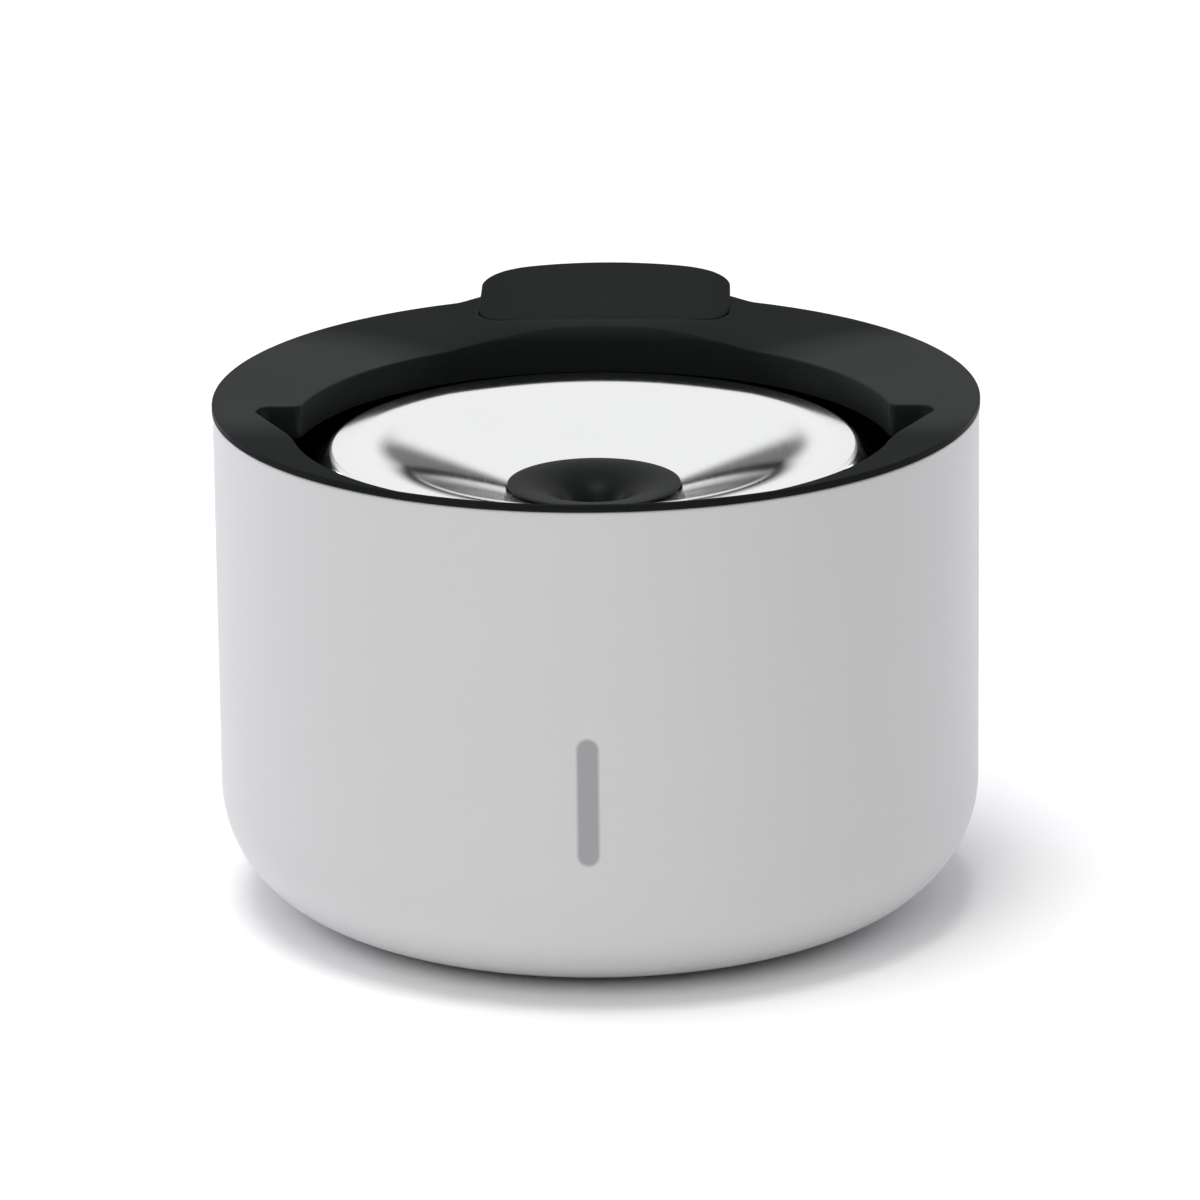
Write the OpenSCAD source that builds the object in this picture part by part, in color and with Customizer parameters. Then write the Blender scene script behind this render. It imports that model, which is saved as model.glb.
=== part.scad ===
// Pet water fountain: a round tank with a lid, a drinking dish and a pump.
// Millimetres, +Z up. The origin is on the tank's axis, on the table.
// The front, with the level window, faces -Y. The refill cap is at +Y.

/* [Tank] */
// Outside diameter of the tank
tank_d = 195.6; // [190:0.2:204]
// Height of the tank's rim above the table
rim_z = 130.9; // [127:0.1:140]
// Thickness of the tank's wall and floor
tank_wall = 2.2; // [1.8:0.1:2.5]
// Outside radius where the wall turns into the floor
base_corner_r = 31; // [24:1:34]
// How far the rubber pad stands out below the tank
pad_proud = 1; // [0.6:0.1:2]
// Diameter of the rubber pad
pad_d = 112; // [90:1:116]

/* [Level window] */
// Width of the window
window_w = 6.4; // [5:0.2:9]
// Height of the window
window_h = 34; // [24:1:40]
// Height of the window's middle above the table
window_mid_z = 56; // [52:1:66]
// Width of the flange that holds the window from inside
window_flange = 3.6; // [2.4:0.2:5]
// Thickness of the window's gasket
window_gasket_t = 0.6; // [0.4:0.1:1]

/* [Lid] */
// How far the lid stands out past the tank
lid_proud = 0.2; // [0:0.1:0.6]
// Height of the lid's band, and thickness of its plate
lid_band_h = 1.9; // [1.6:0.1:2.6]
// Radial gap between the lid's skirt and the tank
lid_fit = 0.4; // [0.3:0.05:0.6]
// Thickness of the skirt
skirt_t = 1.3; // [1.2:0.1:1.5]
// Depth of the skirt below the rim
skirt_h = 9.4; // [8.4:0.2:10.4]
// Width of the overflow gap beside the dish
overflow_gap = 6.1; // [5.5:0.1:6.6]
// Gap between the dish and the opening's back
back_gap = 4.4; // [4:0.1:5]
// Height of the opening's wall
opening_wall_h = 8.6; // [7:0.2:10]
// Thickness of the opening's wall
opening_wall_t = 1.8; // [1.4:0.1:2.2]
// Width of the lid's top where the opening reaches its front edge
front_lip_w = 1.2; // [0.9:0.1:1.6]
// Depth over which the front of the opening slopes in to the skirt
front_slope_h = 3.3; // [2.8:0.1:4]
// Height of the raised back of the lid above its flat top
hump_h = 3.2; // [2.8:0.1:3.8]
// Width of the raised back at the opening's edge
hump_w = 80; // [76:1:90]
// Angle at which the raised back climbs away from the opening's edge at its sides
hump_climb = 5; // [4:0.5:6]
// Width of the flat top of the raised back
hump_top_w = 52; // [48:1:56]
// Width of the raised back at its foot
hump_foot_w = 84; // [80:1:90]
// Angle at which the flat top falls towards the rear
hump_fall = 1; // [0.5:0.1:1.5]

/* [Finger notches] */
// Distance of a notch's round tip from the lid's edge
notch_edge_w = 16.2; // [15:0.2:18]
// Place of the tip in front of the tank's axis
notch_ahead = 13.4; // [11:0.2:16]
// Radius of the tip
notch_r = 4.2; // [3.6:0.1:4.6]
// Angle between a notch's front edge and the Y axis
notch_angle = 25.2; // [23:0.2:28]

/* [Refill cap] */
// Width of the cap
cap_w = 66; // [62:1:68]
// Distance of the cap behind the edge of the raised back
cap_margin = 10.3; // [9:0.1:11]
// How far the cap reaches out past the lid
cap_overhang = 14; // [10:0.5:16]
// Radius of the cap's corners
cap_corner_r = 11; // [9:0.5:12]
// Radius of the cap's rear edge
cap_back_r = 66; // [62:1:80]
// Angle at which the cap rises towards the rear
cap_rise = 2.4; // [1:0.1:3]
// Thickness of the cap's skin
cap_skin = 1.8; // [1.4:0.1:2.2]
// Height of the cap at its front edge
cap_h = 3.6; // [3.4:0.1:4]
// Gap round the cap
cap_gap = 0.3; // [0.3:0.05:0.5]
// Width of the refill port
port_w = 48; // [40:1:50]
// Distance of the port behind the cap's front edge
port_inset = 5; // [4:0.5:8]
// Distance of the port from the skirt
port_back_gap = 2.5; // [2:0.1:6]
// Wall of the collar that drops into the port
collar_t = 1.4; // [1.2:0.1:1.8]
// How far the collar reaches below the port's floor
collar_proud = 1.5; // [1:0.5:3]

/* [Dish] */
// Diameter of the dish at its edge
dish_d = 140.6; // [138:0.2:141]
// Gap between the dish's front and the lid's skirt
dish_front_gap = 1.1; // [0.8:0.1:1.6]
// Thickness of the steel
dish_t = 0.8; // [0.6:0.1:1]
// Depth of the brim's outer edge below the lid's top
brim_drop = 5.5; // [5:0.1:6.5]
// Diameter where the brim turns down into the bowl
bowl_d = 106; // [104:0.2:108]
// Height of that turn above the brim's outer edge
brim_rise = 0.3; // [0:0.1:0.6]
// Radius of the turn from the brim into the bowl
brim_turn_r = 38; // [30:1:40]
// Depth of the bowl, from the turn to the hole
bowl_depth = 12.4; // [12:0.1:13]
// Run of the rolled lip
lip_run = 4; // [3:0.1:5]
// Radius of the rolled lip
lip_r = 7; // [5:0.5:8]
// Angle at which the lip ends
lip_angle = 50; // [40:1:55]

/* [Spout cup] */
// Diameter of the cup's rim
cup_d = 44; // [43:0.2:45]
// Width of the rim that lies on the dish
cup_rim_w = 1.6; // [1.4:0.1:2]
// Thickness of the rim
cup_rim_t = 0.5; // [0.5:0.05:1]
// Depth of the trumpet inside the cup
cup_depth = 10; // [9:0.5:12]
// Diameter of the water hole in the cup
cup_hole_d = 10.4; // [9:0.2:10.8]
// Outside diameter of the cup's stem
stem_d = 17.2; // [17:0.1:17.6]
// Length of the stem below the cup
stem_len = 20; // [18:0.5:21]

/* [Tray and filter] */
// Depth of the tray's floor below the rim
tray_drop = 25.3; // [24.5:0.1:26]
// Thickness of the tray
tray_t = 1.6; // [1.4:0.1:2]
// How far the tray's wall leans in towards its floor
tray_lean_w = 7.2; // [6:0.2:8]
// Distance of the ring that carries the dish from the bowl's edge
support_out = 2; // [1:0.1:2.4]
// Thickness of that ring
support_t = 2; // [1.8:0.1:2.2]
// Gap between the filter basket's flange and that ring
basket_gap = 1.1; // [0.6:0.1:2]
// Width of the basket's flange
basket_flange_w = 1.9; // [1.4:0.1:2.4]
// Depth of the filter basket
basket_h = 23; // [21:0.5:24]
// Wall of the filter basket
basket_t = 1.6; // [1.4:0.1:2]
// Diameter of the sleeve round the riser
sleeve_d = 21.2; // [21:0.1:21.8]
// Thickness of the filter cartridge
cartridge_h = 17; // [15:0.5:17.5]
// Number of slots in the filter's cover and basket
slot_count = 16; // [8:2:20]
// Diameter of the tray's screws
tray_screw_d = 3; // [2.6:0.1:3.2]

/* [Pump] */
// Width and height of the pump
pump_w = 38; // [36:0.5:40]
// Height of the pump's block
pump_h = 32; // [31:0.5:34]
// Length of the motor block
motor_len = 36; // [32:0.5:38]
// Length of the pump's cover, with the impeller chamber
cover_len = 14; // [13.5:0.1:15]
// Height of the suction cups
sucker_h = 4.8; // [4:0.2:6]
// Diameter of the impeller chamber
chamber_d = 25; // [24:0.2:26]
// Diameter of the impeller
impeller_d = 22; // [20:0.2:22.6]
// Number of vanes on the impeller
vane_count = 6; // [4:1:8]
// Diameter of the rotor magnet
magnet_d = 11.8; // [11:0.2:12]
// Diameter of the impeller's shaft
shaft_d = 2; // [1.8:0.1:2.4]
// Radial clearance of the rotor on the shaft
shaft_fit = 0.05; // [0.03:0.01:0.08]
// Outside diameter of the pump's nozzle
nozzle_d = 10.3; // [10.1:0.1:10.3]
// Height of the nozzle
nozzle_h = 12; // [9:0.5:13]
// Wall of the riser tube
riser_t = 1.6; // [1.2:0.1:1.6]
// Wall of the pump's cage
cage_wall = 1.6; // [1.4:0.1:2]
// Space between the pump and its cage
cage_space = 6.4; // [5.6:0.2:8]
// Thickness of the foam in front of the pump
foam_t = 10; // [8:0.5:12]

/* [Power inlet] */
// Depth of the inlet's axis below the rim
inlet_drop = 36.9; // [36.5:0.1:38.5]
// Diameter of the inlet's threaded barrel
inlet_d = 11; // [10:0.2:12]
// Diameter of the inlet's flange
inlet_flange_d = 16; // [15:0.2:17]
// Diameter of the socket for the plug
socket_d = 5.7; // [5.5:0.1:6]
// Diameter of the pump's lead
lead_d = 3.6; // [3.2:0.1:3.6]

/* [Hidden] */
$fn = 96;

// Cuts run this far past the faces that they open.
cut = 1;
// Gap between pieces of different bodies that rest on each other.
seat_gap = 0.3;
// Gap between pieces of one body that drop into each other.
slip = 0.1;

// Tank
tank_r = tank_d / 2;
tank_in_r = tank_r - tank_wall;
corner_x = tank_r - base_corner_r;
corner_z = pad_proud + base_corner_r;
inner_corner_r = base_corner_r - tank_wall;
floor_z = pad_proud + tank_wall;
pad_sunk = 0.8;
window_flange_t = 1.4;
window_sunk = 0.3;
window_fit = 0.05;

// Lid
lid_r = tank_r + lid_proud;
lid_top_z = rim_z + lid_band_h;
skirt_r = tank_in_r - lid_fit;
skirt_in_r = skirt_r - skirt_t;
skirt_bottom_z = rim_z - skirt_h;
seal_z = rim_z - 4;
seal_h = 2;
seal_sunk = 0.6;
seal_proud = 0.1;

// Place of the dish and of the opening round it
dish_r = dish_d / 2;
dish_y = dish_r + dish_front_gap - skirt_in_r;
opening_r = dish_r + overflow_gap;
opening_y = dish_y + dish_r + back_gap - opening_r;
notch_x = lid_r - notch_edge_w;
hump_y = opening_y + opening_r;
hump_run = 20;
hump_shoulder_r = 60;
hump_depth = 8;
hump_slope = 2 * hump_h / (hump_foot_w - hump_top_w);
// Radius of the arch across the raised back, whose ridge meets the lid's flat top hump_w apart
hump_r = 1 / (8 * hump_h / (hump_w * hump_w) - tan(hump_climb) / opening_r);

// Cap: its top follows the raised back at the front edge.
cap_front_y = hump_y + cap_margin;
cap_top_z = lid_top_z + hump_h - cap_margin * tan(hump_fall);
cap_bottom_z = cap_top_z - cap_h;
cap_back_y = lid_r + cap_overhang;
cap_back_mid_y = cap_back_y - cap_back_r;
cap_side_x = cap_w / 2 - cap_corner_r;
cap_side_y = cap_back_mid_y + sqrt(pow(cap_back_r - cap_corner_r, 2) - cap_side_x * cap_side_x);
pocket_floor_z = cap_bottom_z - seat_gap;
pocket_floor_t = 2.2;
cap_cut_h = 12;
pocket_x = cap_w / 2 + 3;
port_front_y = cap_front_y + port_inset;
port_back_y = skirt_in_r - port_back_gap;
port_corner_r = 3;
collar_bottom_z = pocket_floor_z - pocket_floor_t - collar_proud;

// Dish: the path of its upper face, from the hole in the middle to the lip's edge
bowl_r = bowl_d / 2;
lip_corner_r = dish_r - lip_run;
lip_corner_z = lid_top_z - brim_drop;
lip_edge_z = lip_corner_z - lip_run * tan(lip_angle);
turn_z = lip_corner_z + brim_rise;
hole_r = cup_d / 2 - cup_rim_w + 0.5;
hole_z = turn_z - bowl_depth;
floor_angle = atan2(bowl_depth, bowl_r - hole_r);
dish_path = rounded_path(
    [[hole_r, hole_z], [bowl_r, turn_z], [lip_corner_r, lip_corner_z], [dish_r, lip_edge_z]],
    [brim_turn_r, lip_r], 16);

// Spout cup
cup_rim_bottom_z = hole_z + (cup_d / 2 - hole_r) * tan(floor_angle) + seat_gap;
cup_rim_z = cup_rim_bottom_z + cup_rim_t;
gasket_t = 0.6;
gasket_lip_w = 3;
cup_floor_t = 2;
cup_body_r = hole_r - gasket_t - seat_gap;
cup_hole_r = cup_hole_d / 2;
cup_foot_z = cup_rim_z - cup_depth - cup_floor_t;
stem_r = stem_d / 2;
stem_bottom_z = cup_foot_z - stem_len / 2;
trumpet_edge_r = cup_d / 2 - 0.5;

// Tray and filter
tray_z = rim_z - tray_drop;
tray_top_z = skirt_bottom_z;
tray_rim_h = 3;
tray_floor_r = skirt_r - tray_lean_w;
support_r = bowl_r + support_out;
support_top_z = min([for (p = beside(dish_path, dish_t))
    if (p[0] > support_r - support_t - 1 && p[0] < support_r + 1) p[1]]) - seat_gap;
basket_r = support_r - support_t - basket_gap - basket_flange_w;
basket_flange_t = 1.4;
basket_slot_w = 2.4;
slot_inset = 3;
slot_outset = 5;
flow_gap_w = 8;
flow_sill_h = 3;
flow_head_h = 5;
basket_bottom_z = tray_z - basket_h;
sleeve_r = sleeve_d / 2;
sleeve_t = 1.4;
sleeve_top_z = cup_foot_z - seat_gap;
cartridge_z = basket_bottom_z + basket_t;
cartridge_edge_r = 2;
cover_z = cartridge_z + cartridge_h;
cover_t = 1.5;
cover_slot_w = 3;
boss_r = 4;
boss_circle_r = tray_floor_r - tray_t - boss_r - slip;
screw_places = [for (a = [8, 60, 120, 172]) [boss_circle_r * cos(a), boss_circle_r * sin(a)]];
screw_head_r = tray_screw_d / 2 + 1.4;
screw_head_h = 1.8;
screw_bite = 9;

// Pump: its axis runs along Y, and its nozzle stands under the spout cup.
nozzle_margin = 0.15;
pump_bottom_z = floor_z + sucker_h;
pump_top_z = pump_bottom_z + pump_h;
pump_axis_z = pump_bottom_z + pump_h / 2;
cover_back_y = dish_y + nozzle_d / 2 + nozzle_margin;
cover_front_y = cover_back_y - cover_len;
cover_front_t = 2;
motor_back_y = cover_back_y + motor_len;
chamber_r = chamber_d / 2;
impeller_r = impeller_d / 2;
impeller_back_y = cover_back_y - 0.6;
impeller_disc_t = 1.2;
impeller_front_y = cover_front_y + cover_front_t + 2;
hub_r = 3.2;
vane_t = 1.2;
vane_root = 0.9;
vane_len = impeller_back_y - impeller_disc_t / 2 - impeller_front_y;
magnet_r = magnet_d / 2;
magnet_len = 26;
magnet_gap = 0.5;
shaft_r = shaft_d / 2;
bush_r = shaft_r + 1.4;
bush_len = 2;
bush_sink = 0.8;
rotor_bore_end_y = impeller_back_y + magnet_len + 1;
rear_bush_y = rotor_bore_end_y;
front_bush_y = cover_front_y + 0.8;
shaft_front_y = front_bush_y + bush_sink / 2;
shaft_back_y = rear_bush_y + bush_len - bush_sink / 2;
intake_r = 8.5;
spider_r = bush_r + 1.2;
spider_arm_w = 1.8;
nozzle_r = nozzle_d / 2;
nozzle_bore_r = nozzle_r - 1.95;
nozzle_top_z = pump_top_z + nozzle_h;
regulator_r = 12;
regulator_t = 1.9;
regulator_pin_r = 1.5;
regulator_head_r = 2.4;
regulator_head_t = 1;
regulator_tab_r = 15;
regulator_tab_w = 4;
regulator_port_r = 2.4;
regulator_port_x = 6.4;
regulator_gap = 0.3;
pump_screw_r = 1.1;
pump_screw_x = pump_w / 2 - 3;
pump_screw_z = pump_h / 2 - 3;
pump_screw_len = cover_len + 6;
pump_seal_in_r = chamber_r + 1.1;
pump_seal_w = 1.6;
pump_seal_t = 1;
pump_seal_slip = 0.05;
riser_in_r = nozzle_r + 0.05;
riser_r = riser_in_r + riser_t;
riser_bottom_z = pump_top_z;
riser_top_z = cup_foot_z - 3;
stem_in_r = riser_r + seat_gap;
cage_x = pump_w / 2 + cage_space + cage_wall;
cage_top_z = pump_top_z + 6;
foam_back_y = cover_front_y - 6;
foam_front_y = foam_back_y - foam_t;
cage_front_y = foam_front_y - slip - cage_wall;
cage_back_y = motor_back_y + cage_space + cage_wall;
cage_corner_r = 5;
cage_slot_w = 2;
cage_slot_pitch = 6;
cage_slot_end = 7;
sucker_r = 6;
sucker_inset = 6.8;
sucker_neck_r = 2.2;
sucker_peg_r = 1.6;
sucker_peg_h = 2;

// Inlet
inlet_z = rim_z - inlet_drop;
inlet_r = inlet_d / 2;
inlet_flange_r = inlet_flange_d / 2;
inlet_flange_t = 0.9;
inlet_seal_t = 0.6;
spot_face_depth = 1.6;
spot_face_y = tank_r - spot_face_depth;
inlet_rim_w = 2;
inlet_pad_r = inlet_flange_r + inlet_rim_w;
inlet_pad_t = 2.4;
inlet_pad_y = tank_in_r - inlet_pad_t;
inlet_nut_t = 3;
inlet_nut_w = 3.4;
inlet_thread_len = 9;
inlet_tail_len = 4;
inlet_back_y = inlet_pad_y - inlet_thread_len;
inlet_tail_y = inlet_back_y - inlet_tail_len;
inlet_tail_r = 3.5;
socket_depth = 9;
socket_pin_r = 1;

// Lead, from the inlet's tail to the back of the pump
lead_r = lead_d / 2;
lead_wall_y = tank_in_r - lead_r - 0.4;
lead_floor_z = floor_z + lead_r + 0.4;
lead_bend_r = corner_z - lead_floor_z;
lead_pump_z = pump_bottom_z + 6;
lead_sides = 8;
clip_w = 8;
clip_len = 6;
clip_t = 2;
clip_fit = 0.25;
wall_clip_z = corner_z + 8;
floor_clip_y = corner_x - 4;
lead_points = concat(
    [[0, inlet_tail_y, inlet_z], [0, inlet_tail_y - 5, inlet_z], [0, inlet_tail_y - 11, inlet_z - 3],
     [0, inlet_tail_y - 14, inlet_z - 9], [0, inlet_tail_y - 12, inlet_z - 17],
     [0, inlet_tail_y - 6, inlet_z - 23], [0, inlet_tail_y + 3, inlet_z - 29],
     [0, lead_wall_y - 3, inlet_z - 36], [0, lead_wall_y, wall_clip_z + clip_len + 4],
     [0, lead_wall_y, wall_clip_z + clip_len], [0, lead_wall_y, wall_clip_z]],
    [for (a = [0:30:90])
        [0, corner_x + (lead_wall_y - corner_x) * cos(a), corner_z - lead_bend_r * sin(a)]],
    [[0, floor_clip_y, lead_floor_z], [0, floor_clip_y - clip_len, lead_floor_z],
     [0, floor_clip_y - 2 * clip_len, lead_floor_z], [0, cage_back_y + 5, lead_floor_z + 1.5],
     [0, motor_back_y + 3, lead_pump_z], [0, motor_back_y, lead_pump_z]]);

function unit(v) = v / norm(v);

// Points of an arc round m, in n steps
function arc(m, r, start, end, n) =
    [for (i = [0:n]) let (a = start + (end - start) * i / n) m + r * [cos(a), sin(a)]];

// Points of an arc of radius r that rounds the corner b between a and c
function rounded_corner(a, b, c, r, n) =
    let (
        u = unit(a - b),
        v = unit(c - b),
        half = acos(u * v) / 2,
        p = b + u * r / tan(half),
        q = b + v * r / tan(half),
        m = b + unit(u + v) * r / sin(half),
        start = atan2(p[1] - m[1], p[0] - m[0]),
        end = atan2(q[1] - m[1], q[0] - m[0]),
        turn = (end - start + 540) % 360 - 180
    )
    [for (i = [0:n]) m + r * [cos(start + turn * i / n), sin(start + turn * i / n)]];

function rounded_path(pts, radii, n) = concat(
    [pts[0]],
    [for (i = [1:len(pts) - 2]) each rounded_corner(pts[i - 1], pts[i], pts[i + 1], radii[i - 1], n)],
    [pts[len(pts) - 1]]);

// A path moved sideways, to its right
function beside(path, t) = [
    for (i = [0:len(path) - 1])
        let (d = unit(path[min(i + 1, len(path) - 1)] - path[max(i - 1, 0)]))
        path[i] + t * [d[1], -d[0]]
];

function backwards(path) = [for (i = [len(path) - 1:-1:0]) path[i]];

// A smooth curve through points, with n steps between neighbours
function curve_through(pts, n) = concat(
    [for (i = [0:len(pts) - 2])
        let (
            p0 = pts[max(i - 1, 0)],
            p1 = pts[i],
            p2 = pts[i + 1],
            p3 = pts[min(i + 2, len(pts) - 1)]
        )
        for (k = [0:n - 1])
            let (t = k / n)
            0.5 * (2 * p1 + (p2 - p0) * t + (2 * p0 - 5 * p1 + 4 * p2 - p3) * t * t
                + (3 * p1 - p0 - 3 * p2 + p3) * t * t * t)],
    [pts[len(pts) - 1]]);

// A cylinder along Y, from y1 to y2
module rod_y(r, y1, y2, x = 0, z = 0) {
    translate([x, y1, z])
        rotate([-90, 0, 0])
            cylinder(r = r, h = y2 - y1);
}

// A cylinder along X, from x1 to x2
module rod_x(r, x1, x2, y = 0, z = 0) {
    translate([x1, y, z])
        rotate([0, 90, 0])
            cylinder(r = r, h = x2 - x1);
}

// A tube along Z, from z1 to z2
module tube(r_out, r_in, z1, z2) {
    translate([0, 0, z1])
        difference() {
            cylinder(r = r_out, h = z2 - z1);
            translate([0, 0, -cut])
                cylinder(r = r_in, h = z2 - z1 + 2 * cut);
        }
}

// A rectangle with round corners, from (x1, y1) to (x2, y2)
module round_rect(x1, y1, x2, y2, r) {
    translate([x1 + r, y1])
        square([x2 - x1 - 2 * r, y2 - y1]);
    translate([x1, y1 + r])
        square([x2 - x1, y2 - y1 - 2 * r]);
    for (x = [x1 + r, x2 - r])
        for (y = [y1 + r, y2 - r])
            translate([x, y])
                circle(r = r);
}

// Half section of the tank's outside or inside
module tank_section(r, corner_r, bottom, top) {
    translate([0, bottom])
        square([corner_x, top - bottom]);
    translate([0, corner_z])
        square([r, top - corner_z]);
    translate([corner_x, corner_z])
        intersection() {
            circle(r = corner_r);
            translate([0, -corner_r])
                square([corner_r, 2 * corner_r]);
        }
}

// The upright slot shape of the window, grown by g, as a bar along Y
module window_bar(g, y1, y2) {
    w = window_w / 2 + g;
    half = window_h / 2 - window_w / 2;
    translate([-w, y1, window_mid_z - half])
        cube([2 * w, y2 - y1, 2 * half]);
    rod_y(w, y1, y2, 0, window_mid_z - half);
    rod_y(w, y1, y2, 0, window_mid_z + half);
}

module housing() {
    color("white")
        difference() {
            union() {
                difference() {
                    rotate_extrude()
                        tank_section(tank_r, base_corner_r, pad_proud, rim_z);
                    rotate_extrude()
                        tank_section(tank_in_r, inner_corner_r, floor_z, rim_z + cut);
                }
                intersection() {
                    rod_y(inlet_pad_r, inlet_pad_y, tank_r, 0, inlet_z);
                    cylinder(r = tank_r, h = rim_z);
                }
            }
            window_bar(0, -tank_r - cut, -tank_r / 2);
            rod_y(inlet_flange_r + 0.2, spot_face_y, tank_r + cut, 0, inlet_z);
            rod_y(inlet_r + 0.1, inlet_pad_y - cut, tank_r, 0, inlet_z);
            translate([0, 0, pad_proud - cut])
                cylinder(r = pad_d / 2 + slip, h = pad_sunk + cut);
        }
}

module base_pad() {
    color("dimgray")
        cylinder(r = pad_d / 2, h = pad_proud + pad_sunk);
}

module level_window() {
    color("silver") {
        intersection() {
            window_bar(-window_fit, -tank_r - cut, -tank_r / 2);
            tube(tank_r - window_sunk, tank_in_r - window_gasket_t - window_flange_t / 2, 0, rim_z);
        }
        intersection() {
            window_bar(window_flange, -tank_r, -tank_r / 2);
            tube(tank_in_r - window_gasket_t, tank_in_r - window_gasket_t - window_flange_t, 0, rim_z);
        }
    }
}

module window_seal() {
    color("gray")
        difference() {
            intersection() {
                window_bar(window_flange, -tank_r, -tank_r / 2);
                tube(tank_in_r, tank_in_r - window_gasket_t, 0, rim_z);
            }
            window_bar(0, -tank_r, -tank_r / 2);
        }
}

module dc_inlet() {
    color("black")
        difference() {
            union() {
                rod_y(inlet_flange_r, spot_face_y + inlet_seal_t,
                    spot_face_y + inlet_seal_t + inlet_flange_t, 0, inlet_z);
                rod_y(inlet_r, inlet_back_y, spot_face_y + inlet_seal_t, 0, inlet_z);
                rod_y(inlet_tail_r, inlet_tail_y, inlet_back_y, 0, inlet_z);
            }
            difference() {
                rod_y(socket_d / 2, spot_face_y - socket_depth, tank_r + cut, 0, inlet_z);
                rod_y(socket_pin_r, spot_face_y - socket_depth - cut, spot_face_y, 0, inlet_z);
            }
        }
}

module inlet_seal() {
    color("gray")
        difference() {
            rod_y(inlet_flange_r, spot_face_y, spot_face_y + inlet_seal_t, 0, inlet_z);
            rod_y(inlet_r, spot_face_y - cut, tank_r, 0, inlet_z);
        }
}

module inlet_nut() {
    color("lightgray")
        difference() {
            translate([0, inlet_pad_y - inlet_nut_t, inlet_z])
                rotate([-90, 0, 0])
                    cylinder(r = inlet_r + inlet_nut_w, h = inlet_nut_t, $fn = 6);
            rod_y(inlet_r, inlet_pad_y - inlet_nut_t - cut, inlet_pad_y + cut, 0, inlet_z);
        }
}

// Outline of the right finger notch, grown by g
module notch_outline(g) {
    r = notch_r + g;
    side = [cos(notch_angle), -sin(notch_angle)];
    along = [-sin(notch_angle), -cos(notch_angle)];
    tip = [notch_x, -notch_ahead];
    inner_x = notch_x - 22;
    translate(tip)
        circle(r = r);
    polygon([
        [inner_x, -notch_ahead + r], tip + [0, r], tip + r * side,
        tip + r * side + 45 * along, [inner_x, -notch_ahead - 36]
    ]);
}

// Outline of the opening with both notches, grown by g
module opening_outline(g) {
    translate([0, opening_y])
        circle(r = opening_r + g);
    notch_outline(g);
    mirror([1, 0])
        notch_outline(g);
}

// The space of the opening, which stops at the lid's front lip
module opening_space() {
    intersection() {
        translate([0, 0, skirt_bottom_z - cut])
            linear_extrude(height = rim_z)
                opening_outline(0);
        rotate_extrude()
            polygon([
                [0, skirt_bottom_z - 2 * cut], [skirt_in_r, skirt_bottom_z - 2 * cut],
                [skirt_in_r, lid_top_z - front_slope_h], [lid_r - front_lip_w, lid_top_z],
                [lid_r - front_lip_w, lid_top_z + 2 * hump_h], [0, lid_top_z + 2 * hump_h]
            ]);
    }
}

// A long cylinder along Y whose top passes through (y, z) and climbs by an angle
module arched_block(y, z, climb) {
    translate([0, y, z])
        rotate([climb, 0, 0])
            rod_y(hump_r, -tank_r, tank_d, 0, -hump_r);
}

// A long bar along Y with sloping shoulders, whose flat top passes through (y, z) and climbs by an angle
module ridge_block(y, z, climb) {
    foot_x = hump_top_w / 2 + hump_depth / hump_slope;
    section = rounded_path(
        [[-foot_x, -hump_depth], [-hump_top_w / 2, 0], [hump_top_w / 2, 0], [foot_x, -hump_depth]],
        [hump_shoulder_r, hump_shoulder_r], 6);
    translate([0, y, z])
        rotate([90 + climb, 0, 0])
            translate([0, 0, -tank_d])
                linear_extrude(height = tank_d + tank_r)
                    polygon(section);
}

// Outline of the cap, grown by g: round corners and a wide arc at the rear
module cap_outline(g) {
    turn = asin(cap_side_x / (cap_back_r - cap_corner_r));
    corner_r = cap_corner_r + g;
    corner_y = cap_front_y + cap_corner_r;
    polygon(concat(
        arc([-cap_side_x, corner_y], corner_r, 180, 270, 12),
        arc([cap_side_x, corner_y], corner_r, 270, 360, 12),
        arc([cap_side_x, cap_side_y], corner_r, 0, 90 - turn, 10),
        arc([0, cap_back_mid_y], cap_back_r + g, 90 - turn * 11 / 12, 90 + turn * 11 / 12, 22),
        arc([-cap_side_x, cap_side_y], corner_r, 90 + turn, 180, 10)));
}

// Outline of the refill port, grown by g
module port_outline(g) {
    round_rect(-port_w / 2 - g, port_front_y - g, port_w / 2 + g, port_back_y + g, port_corner_r + g);
}

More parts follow.
